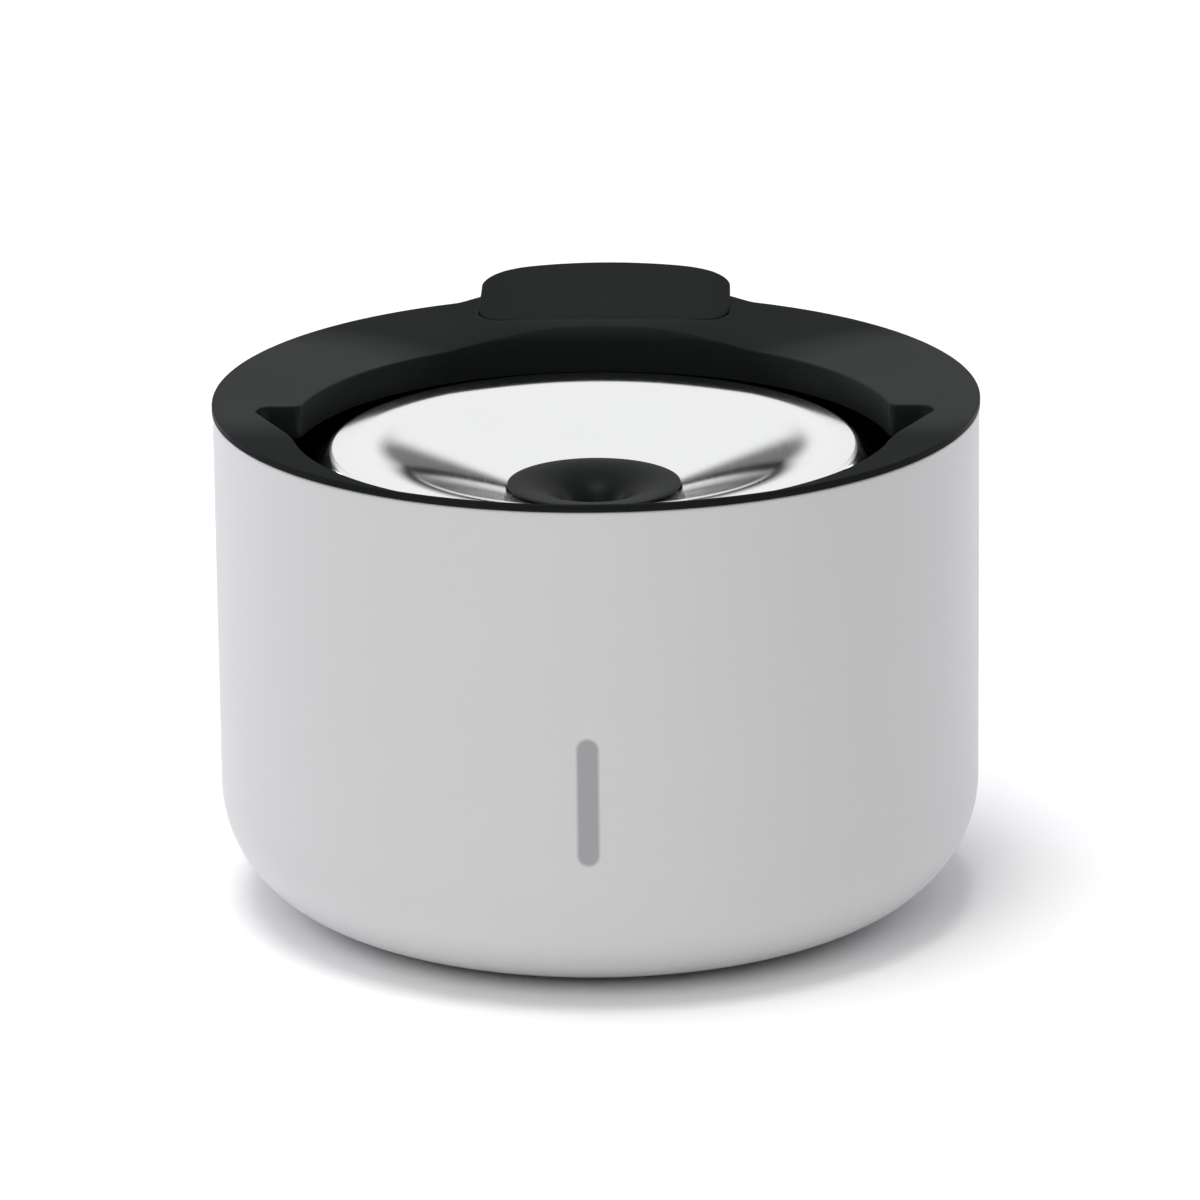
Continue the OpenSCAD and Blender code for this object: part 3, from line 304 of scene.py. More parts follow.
def makeTurning():
    # fine rings round an upright axis, as left by polishing on a lathe
    group, start, end = newGroup("latheRings", [
        ("Centre", "NodeSocketVector", (0.0, 0.0, 0.0)),
        ("Rings", "NodeSocketFloat", 2600.0),
    ], [("Height", "NodeSocketFloat"), ("Mottle", "NodeSocketFloat")])
    place = addNode(group, "ShaderNodeTexCoord")
    offset = addNode(group, "ShaderNodeVectorMath", {"operation": "SUBTRACT"})
    split = addNode(group, "ShaderNodeSeparateXYZ")
    group.links.new(place.outputs["Object"], offset.inputs[0])
    group.links.new(start.outputs["Centre"], offset.inputs[1])
    group.links.new(offset.outputs[0], split.inputs[0])
    square = mathNode(group, "ADD", mathNode(group, "MULTIPLY", split.outputs[0], split.outputs[0]),
                      mathNode(group, "MULTIPLY", split.outputs[1], split.outputs[1]))
    radius = mathNode(group, "SQRT", square)
    angle = mathNode(group, "ARCTAN2", split.outputs[1], split.outputs[0])
    turnPlace = addNode(group, "ShaderNodeCombineXYZ")
    group.links.new(mathNode(group, "MULTIPLY", radius, start.outputs["Rings"]), turnPlace.inputs[0])
    group.links.new(mathNode(group, "MULTIPLY", mathNode(group, "SINE", angle), 1.5), turnPlace.inputs[1])
    group.links.new(mathNode(group, "MULTIPLY", mathNode(group, "COSINE", angle), 1.5), turnPlace.inputs[2])
    lines = addNode(group, "ShaderNodeTexNoise", Scale=1.0, Detail=2.0, Roughness=0.5)
    group.links.new(turnPlace.outputs[0], lines.inputs["Vector"])
    cloud = addNode(group, "ShaderNodeTexNoise", Scale=22.0, Detail=3.0)
    group.links.new(place.outputs["Object"], cloud.inputs["Vector"])
    group.links.new(lines.outputs["Fac"], end.inputs["Height"])
    group.links.new(cloud.outputs["Fac"], end.inputs["Mottle"])
    return group


def makeSideSheenMask():
    # a mask that fades out around two points at the lid's left and right; the gloss coat it lays there is a
    # painted sheen that makes those sides read lighter
    group, start, end = newGroup("sideSheenMask", [
        ("Grip", "NodeSocketVector", (0.088, 0.015, 0.135)),
        ("Near", "NodeSocketFloat", 0.01),
        ("Far", "NodeSocketFloat", 0.08),
    ], [("Mask", "NodeSocketFloat")])
    place = addNode(group, "ShaderNodeTexCoord")
    split = addNode(group, "ShaderNodeSeparateXYZ")
    folded = addNode(group, "ShaderNodeCombineXYZ")
    group.links.new(place.outputs["Object"], split.inputs[0])
    group.links.new(mathNode(group, "ABSOLUTE", split.outputs[0]), folded.inputs[0])
    group.links.new(split.outputs[1], folded.inputs[1])
    group.links.new(split.outputs[2], folded.inputs[2])
    away = addNode(group, "ShaderNodeVectorMath", {"operation": "DISTANCE"})
    group.links.new(folded.outputs[0], away.inputs[0])
    group.links.new(start.outputs["Grip"], away.inputs[1])
    fade = addNode(group, "ShaderNodeMapRange", {"interpolation_type": "SMOOTHSTEP"}, To_Min=1.0, To_Max=0.0)
    group.links.new(away.outputs["Value"], fade.inputs["Value"])
    group.links.new(start.outputs["Near"], fade.inputs["From Min"])
    group.links.new(start.outputs["Far"], fade.inputs["From Max"])
    group.links.new(fade.outputs["Result"], end.inputs["Mask"])
    return group


mouldGrain = makeGrain()
edgeWear = makeEdgeWear()
tintByMask = makeTint()
latheRings = makeTurning()
sideSheenMask = makeSideSheenMask()
print("node groups ready")


def groupNode(tree, group, **values):
    return addNode(tree, "ShaderNodeGroup", {"node_tree": group}, **values)


def rangeNode(tree, source, low, high):
    # noise stays between 0.3 and 0.7, and this spreads it from low to high
    node = addNode(tree, "ShaderNodeMapRange", From_Min=0.3, From_Max=0.7, To_Min=low, To_Max=high)
    tree.links.new(source, node.inputs["Value"])
    return node.outputs["Result"]


def stepNode(tree, source, low, high):
    # 0 below low, 1 above high, and smooth in between
    node = addNode(tree, "ShaderNodeMapRange", {"interpolation_type": "SMOOTHSTEP"}, From_Min=low,
                   From_Max=high)
    tree.links.new(source, node.inputs["Value"])
    return node.outputs["Result"]


def newMaterial(name):
    material = bpy.data.materials.new(name)
    material.use_nodes = True
    return material, material.node_tree, material.node_tree.nodes["Principled BSDF"]


def addBump(tree, shader, height, look):
    bump = addNode(tree, "ShaderNodeBump", Strength=look["bump"], Distance=look["bumpDepth"] * mm)
    tree.links.new(height, bump.inputs["Height"])
    tree.links.new(bump.outputs["Normal"], shader.inputs["Normal"])


# what a finish has where its own look doesn't say otherwise
plainLook = {"grainScale": 900.0, "mottleScale": 14.0, "mottle": 0.5, "wearWidth": 0.06, "wear": 0.3,
             "bump": 0.1, "bumpDepth": 0.05, "specular": 0.5, "metallic": 0.0, "sheen": 0.0}


def makeFinish(name, ownLook):
    # a moulded or rubber finish: mottled colour, worn edges, fine grain
    look = {**plainLook, **ownLook}
    material, tree, shader = newMaterial(name)
    grain = groupNode(tree, mouldGrain, Scale=look["grainScale"], Mottle_Scale=look["mottleScale"])
    wear = groupNode(tree, edgeWear, Width=look["wearWidth"])
    mottled = groupNode(tree, tintByMask, Color=(*look["color"], 1), Other_Color=(*look["second"], 1),
                        Amount=look["mottle"])
    worn = groupNode(tree, tintByMask, Other_Color=(*look["edge"], 1), Amount=look["wear"])
    tree.links.new(grain.outputs["Mottle"], mottled.inputs["Mask"])
    tree.links.new(mottled.outputs["Color"], worn.inputs["Color"])
    tree.links.new(wear.outputs["Mask"], worn.inputs["Mask"])
    tree.links.new(worn.outputs["Color"], shader.inputs["Base Color"])
    tree.links.new(rangeNode(tree, grain.outputs["Mottle"], *look["roughness"]), shader.inputs["Roughness"])
    addBump(tree, shader, grain.outputs["Height"], look)
    shader.inputs["Specular IOR Level"].default_value = look["specular"]
    shader.inputs["Metallic"].default_value = look["metallic"]
    shader.inputs["Sheen Weight"].default_value = look["sheen"]
    # painted sheen: a gloss coat laid only around the two side points, so the lid's left and right read lighter
    if "sideSheen" in look:
        sideSheen = look["sideSheen"]
        hands = groupNode(tree, sideSheenMask, Grip=sideSheen["sheenCentre"], Near=sideSheen["near"], Far=sideSheen["far"])
        coat = rangeNode(tree, hands.outputs["Mask"], 0.0, sideSheen["coat"])
        tree.links.new(coat, shader.inputs["Coat Weight"])
        shader.inputs["Coat Roughness"].default_value = sideSheen["roughness"]
    return material


def makeSteel(name, look):
    # turned and polished steel: fine rings, a cloudy polish
    material, tree, shader = newMaterial(name)
    rings = groupNode(tree, latheRings, Centre=look["centre"], Rings=look["rings"])
    tint = groupNode(tree, tintByMask, Color=(*look["color"], 1), Other_Color=(*look["second"], 1),
                     Amount=look["mottle"])
    tree.links.new(rings.outputs["Mottle"], tint.inputs["Mask"])
    tree.links.new(tint.outputs["Color"], shader.inputs["Base Color"])
    tree.links.new(rangeNode(tree, rings.outputs["Height"], *look["roughness"]), shader.inputs["Roughness"])
    addBump(tree, shader, rings.outputs["Height"], look)
    shader.inputs["Metallic"].default_value = 1.0
    return material


# strip and flange list how deep a ring lies behind the face, and how much wider than the slot it is
window = {"width": 6.4, "height": 34.0, "middle": 56.0, "sunk": 0.02,
          "strip": ((0.0, -0.4), (0.015, -0.2), (0.03, 0.0), (2.38, 0.0)),
          "flange": ((2.4, 0.0), (2.8, 3.6), (4.1, 3.6), (4.2, 0.0)),
          "color": (0.33, 0.33, 0.34), "edgeColor": (0.62, 0.62, 0.625), "fadeIn": 1.1, "fadeOut": 0.1,
          "roughness": (0.36, 0.44)}


def makeWindowFinish(name, look):
    # frosted grey that fades into white towards the edge of the slot
    material = makeFinish(name, {"color": look["color"], "second": look["color"], "edge": look["edgeColor"],
                                 "roughness": look["roughness"], "bump": 0.05, "wear": 0.0})
    tree = material.node_tree
    shader = tree.nodes["Principled BSDF"]
    place = addNode(tree, "ShaderNodeTexCoord")
    split = addNode(tree, "ShaderNodeSeparateXYZ")
    tree.links.new(place.outputs["Object"], split.inputs[0])
    lift = mathNode(tree, "ABSOLUTE", mathNode(tree, "SUBTRACT", split.outputs[2], look["middle"] * mm))
    straight = (look["height"] - look["width"]) / 2 * mm
    beyond = mathNode(tree, "MAXIMUM", mathNode(tree, "SUBTRACT", lift, straight), 0.0)
    square = mathNode(tree, "ADD", mathNode(tree, "MULTIPLY", split.outputs[0], split.outputs[0]),
                      mathNode(tree, "MULTIPLY", beyond, beyond))
    edge = look["width"] / 2
    mask = stepNode(tree, mathNode(tree, "SQRT", square), (edge - look["fadeIn"]) * mm,
                    (edge + look["fadeOut"]) * mm)
    fade = groupNode(tree, tintByMask, Other_Color=(*look["edgeColor"], 1), Amount=1.0)
    base = shader.inputs["Base Color"].links[0].from_socket
    tree.links.new(base, fade.inputs["Color"])
    tree.links.new(mask, fade.inputs["Mask"])
    tree.links.new(fade.outputs["Color"], shader.inputs["Base Color"])
    return material


finishes = {
    "tankWhite": makeFinish("tankWhite", {
        "color": (0.60, 0.60, 0.605), "second": (0.63, 0.63, 0.635), "edge": (0.68, 0.68, 0.68),
        "roughness": (0.36, 0.44), "grainScale": 1400.0, "bump": 0.05, "specular": 0.5, "wear": 0.2}),
    "lidBlack": makeFinish("lidBlack", {
        "color": (0.0075, 0.0088, 0.0086), "second": (0.0105, 0.0121, 0.0118), "edge": (0.03, 0.032, 0.033),
        "roughness": (0.5, 0.6), "grainScale": 1100.0, "bump": 0.16, "specular": 0.02, "wear": 0.35,
        # the side coat below is a painted sheen that lightens the lid's left and right
        "sideSheen": {"sheenCentre": (0.088, 0.015, 0.135), "near": 0.01, "far": 0.08, "coat": 0.23, "roughness": 0.45}}),
    "deepBlack": makeFinish("deepBlack", {
        "color": (0.004, 0.0045, 0.0045), "second": (0.006, 0.0065, 0.0065), "edge": (0.015, 0.015, 0.015),
        "roughness": (0.5, 0.6), "bump": 0.15, "specular": 0.02}),
    "cupBlack": makeFinish("cupBlack", {
        "color": (0.0045, 0.0052, 0.0052), "second": (0.006, 0.007, 0.007), "edge": (0.03, 0.032, 0.032),
        "roughness": (0.38, 0.46), "bump": 0.14, "specular": 0.05}),
    "windowGrey": makeWindowFinish("windowGrey", window),
    "rubberGrey": makeFinish("rubberGrey", {
        "color": (0.06, 0.06, 0.062), "second": (0.085, 0.085, 0.088), "edge": (0.12, 0.12, 0.12),
        "roughness": (0.7, 0.85), "grainScale": 700.0, "bump": 0.3, "specular": 0.3}),
    "innerPale": makeFinish("innerPale", {
        "color": (0.62, 0.63, 0.65), "second": (0.68, 0.69, 0.70), "edge": (0.75, 0.75, 0.75),
        "roughness": (0.45, 0.55), "bump": 0.12}),
    "pumpGrey": makeFinish("pumpGrey", {
        "color": (0.025, 0.028, 0.03), "second": (0.035, 0.038, 0.04), "edge": (0.08, 0.08, 0.08),
        "roughness": (0.5, 0.62), "grainScale": 600.0, "bump": 0.35, "bumpDepth": 0.1}),
    "felt": makeFinish("felt", {
        "color": (0.66, 0.67, 0.67), "second": (0.74, 0.74, 0.73), "edge": (0.8, 0.8, 0.8),
        "roughness": (0.85, 0.95), "grainScale": 500.0, "bump": 0.9, "bumpDepth": 0.4, "sheen": 0.4}),
    "foamDark": makeFinish("foamDark", {
        "color": (0.03, 0.03, 0.032), "second": (0.06, 0.06, 0.062), "edge": (0.09, 0.09, 0.09),
        "roughness": (0.85, 0.95), "grainScale": 420.0, "bump": 1.0, "bumpDepth": 0.8}),
    "screwSteel": makeFinish("screwSteel", {
        "color": (0.55, 0.55, 0.56), "second": (0.62, 0.62, 0.62), "edge": (0.75, 0.75, 0.75),
        "roughness": (0.25, 0.35), "metallic": 1.0, "bump": 0.1}),
    "screwDark": makeFinish("screwDark", {
        "color": (0.02, 0.02, 0.021), "second": (0.03, 0.03, 0.031), "edge": (0.08, 0.08, 0.08),
        "roughness": (0.4, 0.5), "metallic": 1.0, "bump": 0.1}),
    "magnetDark": makeFinish("magnetDark", {
        "color": (0.05, 0.05, 0.055), "second": (0.07, 0.07, 0.075), "edge": (0.2, 0.2, 0.2),
        "roughness": (0.35, 0.45), "metallic": 0.6, "bump": 0.1}),
    "ceramicWhite": makeFinish("ceramicWhite", {
        "color": (0.8, 0.79, 0.76), "second": (0.85, 0.84, 0.82), "edge": (0.9, 0.9, 0.9),
        "roughness": (0.15, 0.22), "bump": 0.03}),
    "leadGrey": makeFinish("leadGrey", {
        "color": (0.50, 0.50, 0.52), "second": (0.56, 0.56, 0.57), "edge": (0.6, 0.6, 0.6),
        "roughness": (0.45, 0.55), "bump": 0.1}),
    "dishSteel": makeSteel("dishSteel", {
        "color": (0.86, 0.865, 0.87), "second": (0.91, 0.915, 0.92), "centre": (0.0, dishY * mm, 0.0),
        "rings": 2600.0, "mottle": 0.6, "roughness": (0.1, 0.14), "bump": 0.08, "bumpDepth": 0.01}),
}
print("finishes ready")


tank = {"wall": 2.2, "baseCorner": 31.0, "rimRound": 0.7, "padRadius": 56.0, "padSunk": 0.8, "padStep": 0.1,
        "padEdge": 0.4, "rowGap": 1.0, "inletPad": 2.0, "inletRoom": 0.2, "inletHole": 5.6}


def slotOutline(grow=0.0, steps=12):
    # the window's upright slot with round ends, as (x, z)
    r = window["width"] / 2 + grow
    half = (window["height"] - window["width"]) / 2
    points = []
    for end, start in ((window["middle"] + half, 0.0), (window["middle"] - half, pi)):
        for k in range(steps + 1):
            a = start + pi * k / steps
            points.append(Vector((r * cos(a), end + r * sin(a))))
    return points


def smoothWall(shell):
    # the cut wall keeps the normals of a true cylinder, so no long triangle shows
    mesh = shell.data
    low = (tankLow.z + tank["baseCorner"]) * mm
    high = (tankHigh.z - tank["rimRound"]) * mm
    normals = [tuple(mesh.corner_normals[loop.index].vector) for loop in mesh.loops]
    for face in mesh.polygons:
        reach = hypot(face.center.x, face.center.y)
        if abs(reach - tankR * mm) > 0.2 * mm or abs(face.normal.z) > 0.02:
            continue
        for index in face.loop_indices:
            v = mesh.vertices[mesh.loops[index].vertex_index].co
            if low - 1e-6 <= v.z <= high + 1e-6:
                normals[index] = tuple(Vector((v.x, v.y, 0)).normalized())
    mesh.normals_split_custom_set(normals)
    return shell


def makeTank(t):
    bottom, top = tankLow.z, tankHigh.z
    corner = t["baseCorner"]
    inside = tankR - t["wall"]
    inletLow, inletHigh = nodeBox("dc_inlet")
    inletZ = (inletLow.z + inletHigh.z) / 2
    flange = (inletHigh.x - inletLow.x) / 2
    # rows close to the slot and the inlet keep their cuts from reaching far along the wall
    rows = []
    for middle, half in ((window["middle"], window["height"] / 2), (inletZ, flange)):
        rows += [middle - half - t["rowGap"], middle + half + t["rowGap"]]
    wall = [(tankR, z) for z in sorted(rows)]
    outer = roundCorners(
        [(t["padRadius"] + t["padStep"], bottom + t["padSunk"]), (t["padRadius"] + t["padStep"], bottom),
         (tankR, bottom), *wall, (tankR, top), (inside, top), (inside, bottom + t["wall"]),
         (0, bottom + t["wall"])],
        [0, t["padEdge"], corner, *[0 for z in rows], t["rimRound"], t["rimRound"], corner - t["wall"], 0],
        steps=24)
    profile = [(0, bottom + t["padSunk"])] + [(p.x, p.y) for p in outer]
    shell = spin("tankShell", profile, steps=360, closed=False)
    slot = [[(p.x, y, p.y) for p in slotOutline()] for y in (-tankR - 2, -inside + 4)]
    carve(shell, skin("windowTool", slot, closed=False, capFirst=True, capLast=True))

    def rod(name, radius, y1, y2):
        turns = [2 * pi * k / 64 for k in range(64)]
        rings = [[(radius * cos(a), y, inletZ + radius * sin(a)) for a in turns] for y in (y1, y2)]
        return skin(name, rings, closed=False, capFirst=True, capLast=True)

    seat = nodeBox("inlet_seal")[0].y
    nutFace = nodeBox("inlet_nut")[1].y
    carve(shell, rod("inletPad", flange + t["inletPad"], nutFace, tankR - t["wall"] / 2), "UNION")
    carve(shell, rod("inletSeat", flange + t["inletRoom"], seat, tankR + 2))
    carve(shell, rod("inletHole", t["inletHole"], nutFace - 2, tankR))
    dress(shell, finishes["tankWhite"], "tank", ["housing"])
    return smoothWall(shell)


def windowRing(depth, grow):
    # the slot's outline on the round of the tank
    r = tankR - window["sunk"] - depth
    return [(p.x, -sqrt(r * r - p.x * p.x), p.y) for p in slotOutline(grow)]


def makeWindow(w):
    # a strip that follows the tank, with softly rounded edges, and its flange behind
    strip = skin("windowStrip", [windowRing(*row) for row in w["strip"]], closed=False, capFirst=True)
    flange = skin("windowFlange", [windowRing(*row) for row in w["flange"]], closed=False, capLast=True)
    join(strip, flange)
    return dress(strip, finishes["windowGrey"], "tank", ["level_window"])


makeTank(tank)
makeWindow(window)
print("tank ready")


lid = {"band": 1.9, "wallHeight": 8.6, "wall": 1.8, "skirtGap": 0.4, "skirt": 1.3, "skirtRound": 0.3,
       "skirtLap": 0.2, "lap": 0.02, "play": 0.05, "frontLip": 1.2, "frontSlope": 3.3, "overflowGap": 6.1,
       "backGap": 4.4, "notchEdge": 16.2, "notchAhead": 13.4, "notchRound": 4.2, "notchAngle": 25.2,
       "rearRun": 3.6, "rearRound": 2.2, "frontRun": 8.0, "frontRound": 55.0, "longest": 2.0,
       "edge": 0.45, "backEdge": 3.2, "backEdgeHalf": 8.0, "backEdgeFade": 24.0, "backEdgeFrom": 20.0,
       "foot": ((0.5, 0.0), (0.12, 0.12), (0.0, 0.5)), "wallRows": (6.0, 5.0, 4.2), "archRows": (3.6, 3.3),
       "rollSteps": 10, "flatSteps": 16, "rimSteps": 5, "rimUnder": 0.25}
ridge = {"height": 3.2, "width": 80.0, "climb": 5.0, "topHalf": 26.0, "footHalf": 42.0, "shoulder": 60.0,
         "fall": 1.0, "run": 20.0, "blend": 0.3, "footBlend": 0.12}
rimZ = tankHigh.z
lidTop = rimZ + lid["band"]
skirtR = tankR - tank["wall"] - lid["skirtGap"]
skirtInR = skirtR - lid["skirt"]
openR = dishR + lid["overflowGap"]
openY = dishY + dishR + lid["backGap"] - openR
ridgeY = openY + openR
ridgeArc = 1 / (8 * ridge["height"] / ridge["width"] ** 2 - tan(radians(ridge["climb"])) / openR)


def softMin(a, b, soft):
    return (a + b - sqrt((a - b) ** 2 + soft * soft)) / 2


def ridgeDrop(x):
    # how far the shoulders of the ridge fall below its flat top
    slope = ridge["height"] / (ridge["footHalf"] - ridge["topHalf"])
    lean = atan2(slope, 1)
    start = ridge["topHalf"] - ridge["shoulder"] * tan(lean / 2)
    reach = abs(x) - start
    if reach <= 0:
        return 0.0
    if reach < ridge["shoulder"] * sin(lean):
        return ridge["shoulder"] - sqrt(ridge["shoulder"] ** 2 - reach * reach)
    return slope * (abs(x) - ridge["topHalf"])


def lidHeight(x, y):
    # top of the lid: flat, with a low ridge at the back
    if y < ridgeY - ridge["run"]:
        return lidTop
    arch = ridge["height"] - x * x / (2 * ridgeArc) + (y - ridgeY) * tan(radians(ridge["climb"]))
    top = ridge["height"] - ridgeDrop(x) - (y - ridgeY) * tan(radians(ridge["fall"]))
    rise = softMin(arch, top, ridge["blend"])
    return lidTop - softMin(-rise, 0.0, ridge["footBlend"])


def arcPoints(centre, radius, start, end, steps):
    turns = [start + (end - start) * k / steps for k in range(steps + 1)]
    return [Vector((centre[0] + radius * cos(a), centre[1] + radius * sin(a))) for a in turns]


def openingOutline():
    # right half from the back to the front, then its mirror
    r = lid["notchRound"]
    tip = Vector((lidR - lid["notchEdge"], -lid["notchAhead"]))
    lean = radians(lid["notchAngle"])
    sideways = Vector((cos(lean), -sin(lean)))
    along = Vector((-sin(lean), -cos(lean)))
    rearY = tip.y + r
    cornerA = Vector((sqrt(openR ** 2 - (rearY - openY) ** 2), rearY))
    start = tip + r * sideways - Vector((0, openY))
    reach = start.dot(along)
    run = -reach - sqrt(reach ** 2 - start.length_squared + openR ** 2)
    cornerB = tip + r * sideways + run * along
    angleA = atan2(cornerA.y - openY, cornerA.x) + lid["rearRun"] / openR
    angleB = atan2(cornerB.y - openY, cornerB.x) - lid["frontRun"] / openR
    rear = arcPoints((0, openY), openR, pi / 2, angleA, 109)
    notch = [tip + r * p for p in arcPoints((0, 0), 1, pi / 2, -lean, 14)]
    front = arcPoints((0, openY), openR, angleB, -pi / 2, 119)
    points = [*rear, cornerA, *notch, cornerB, *front]
    radii = [0] * len(points)
    radii[len(rear)] = lid["rearRound"]
    radii[len(rear) + 1 + len(notch)] = lid["frontRound"]
    half = roundCorners(points, radii, steps=12)
    full = half + [Vector((-p.x, p.y)) for p in reversed(half[1:-1])]
    # long straight runs are split, so that the ring's outer edge stays round beside them
    fine = []
    for p, q in zip(full, full[1:] + full[:1]):
        pieces = ceil((q - p).length / lid["longest"])
        fine += [p.lerp(q, k / pieces) for k in range(pieces)]
    return fine


def clipToFront(p, depth):
    # the front of the opening slopes in from the lip to the skirt
    slope = (lidR - lid["frontLip"] - skirtInR) / lid["frontSlope"]
    limit = lidR - lid["frontLip"] - slope * min(depth, lid["frontSlope"])
    reach = hypot(p.x, p.y)
    return p * (limit / reach) if reach > limit else p.copy()


def makeLid(t):
    # rings of one outline: up the opening's wall, over its edge, out to the rim and back below
    outline = openingOutline()
    count = len(outline)
    top = [clipToFront(p, 0) for p in outline]
    normals = []
    for i in range(count):
        along = (top[(i + 1) % count] - top[i - 1]).normalized()
        out = Vector((-along.y, along.x))
        if out.dot(top[i] - Vector((0, openY))) < 0:
            out = -out
        normals.append(out)
    edges = []
    for p in top:
        beside = max(abs(p.x) - t["backEdgeHalf"], 0)
        centre = smoothStep(1 - beside / t["backEdgeFade"]) if p.y > t["backEdgeFrom"] else 0.0
        edges.append(t["edge"] + (t["backEdge"] - t["edge"]) * centre)
    loops = []

    def wallLoop(offset, depth, limitR=None, lap=0.0):
        loop = []
        for p, n in zip(outline, normals):
            q = clipToFront(p, depth) + n * offset
            if limitR and q.length > limitR:
                q = q * (limitR / q.length)
            loop.append((q.x, q.y, lidTop - depth + lap))
        loops.append(loop)

    wallLoop(t["wall"], t["wallHeight"], skirtR - t["play"])
    for offset, lift in t["foot"]:
        wallLoop(offset, t["wallHeight"] - lift)
    for depth in t["wallRows"]:
        wallLoop(0.0, depth)
    # the wall's upper part and its rolled edge follow the arch
    for depth in t["archRows"]:
        loop = []
        for p, rest, e in zip(outline, top, edges):
            q = clipToFront(p, depth)
            loop.append((q.x, q.y, lidHeight(rest.x, rest.y) - max(depth, e)))
        loops.append(loop)
    for k in range(1, t["rollSteps"] + 1):
        a = pi / 2 * k / t["rollSteps"]
        loop = []
        for p, n, e in zip(outline, normals, edges):
            depth = e * (1 - sin(a))
            q = clipToFront(p, depth) + n * (e * (1 - cos(a)))
            loop.append((q.x, q.y, lidHeight(q.x, q.y) - depth))
        loops.append(loop)
    inner = loops[-1]
    outer = []
    for p in outline:
        ray = (Vector((p.x, p.y - openY))).normalized()
        b = ray.y * openY
        reach = -b + sqrt(b * b - openY ** 2 + (lidR - t["edge"]) ** 2)
        outer.append(Vector((ray.x * reach, openY + ray.y * reach)))
    for k in range(1, t["flatSteps"] + 1):
        share = k / t["flatSteps"]
        loop = []
        for start, end in zip(inner, outer):
            x = start[0] + (end.x - start[0]) * share
            y = start[1] + (end.y - start[1]) * share
            loop.append((x, y, lidHeight(x, y)))
        loops.append(loop)

    def rimLoop(radius, z, arch=False):
        loop = []
        for p in outer:
            q = p.normalized() * radius
            lift = lidHeight(q.x, q.y) - lidTop if arch else 0
            loop.append((q.x, q.y, z + lift))
        loops.append(loop)

    e = t["edge"]
    for k in range(1, t["rimSteps"] + 1):
        a = pi / 2 * k / t["rimSteps"]
        rimLoop(lidR - e + e * sin(a), lidTop - e * (1 - cos(a)), arch=True)
    rimLoop(lidR, rimZ + t["rimUnder"])
    rimLoop(lidR - t["rimUnder"], rimZ + t["lap"])
    rimLoop(skirtR, rimZ + t["lap"])
    wallLoop(t["wall"], t["band"], skirtR - t["play"], t["lap"])
    return skin("lidPlate", loops)


def makeSkirt(t):
    # the lid's ring that reaches down into the tank
    low = nodeBox("drip_tray")[1].z
    high = rimZ + t["skirtLap"]
    inside = skirtInR + t["lap"]
    profile = roundCorners([(inside, low), (skirtR, low), (skirtR, high), (inside, high)],
                           [t["skirtRound"], t["skirtRound"], 0, 0], steps=4, closed=True)
    return spin("lidSkirt", [(p.x, p.y) for p in profile], steps=360)


cap = {"corner": 11.0, "frontWide": 8.0, "frontLong": 16.0, "backArc": 66.0, "margin": 10.3, "rise": 2.4,
       "skin": 1.8, "height": 3.6, "edge": 0.4, "foot": ((0.3, 0.0), (0.09, 0.09), (0.0, 0.3)),
       "gap": 0.3, "frontGap": 0.5, "sideGap": 0.05, "floor": 2.2, "blockSide": 3.0, "blockTop": 0.6,
       "portWidth": 48.0, "portInset": 5.0, "portBackGap": 2.5, "portRound": 3.0,
       "collar": 1.4, "collarProud": 1.5, "collarTop": 1.2, "collarEdge": 0.2}
capFront = ridgeY + cap["margin"]
capHalf = capHigh.x
capBack = capHigh.y
capTop = lidTop + ridge["height"] - cap["margin"] * tan(radians(ridge["fall"]))
capBottom = capTop - cap["height"]
pocketFloor = capBottom - cap["gap"]


def capOutline(grow):
    # round corners and a wide arc at the rear, counter-clockwise
    corner = cap["corner"] + grow
    sideX = capHalf - cap["corner"]
    middle = capBack - cap["backArc"]
    inner = cap["backArc"] - cap["corner"]
    sideY = middle + sqrt(inner ** 2 - sideX ** 2)
    turn = asin(sideX / inner)
    points = []
    for side, start in ((-1, pi), (1, 1.5 * pi)):
        for p in arcPoints((0, 0), 1, start, start + pi / 2, 20):
            points.append(Vector((side * (capHalf - cap["frontWide"]) + p.x * (cap["frontWide"] + grow),
                                  capFront + cap["frontLong"] + p.y * (cap["frontLong"] + grow))))
    points += arcPoints((sideX, sideY), corner, 0, pi / 2 - turn, 14)
    points += arcPoints((0, middle), cap["backArc"] + grow, pi / 2 - turn, pi / 2 + turn, 36)[1:-1]
    points += arcPoints((-sideX, sideY), corner, pi / 2 + turn, pi, 14)
    return points


def portOutline(grow):
    # the hole in the pocket's floor, through which water is filled in
    half = cap["portWidth"] / 2 + grow
    front = capFront + cap["portInset"] - grow
    back = skirtInR - cap["portBackGap"] + grow
    corners = [(-half, front), (half, front), (half, back), (-half, back)]
    return roundCorners(corners, [cap["portRound"] + grow] * 4, steps=6, closed=True)


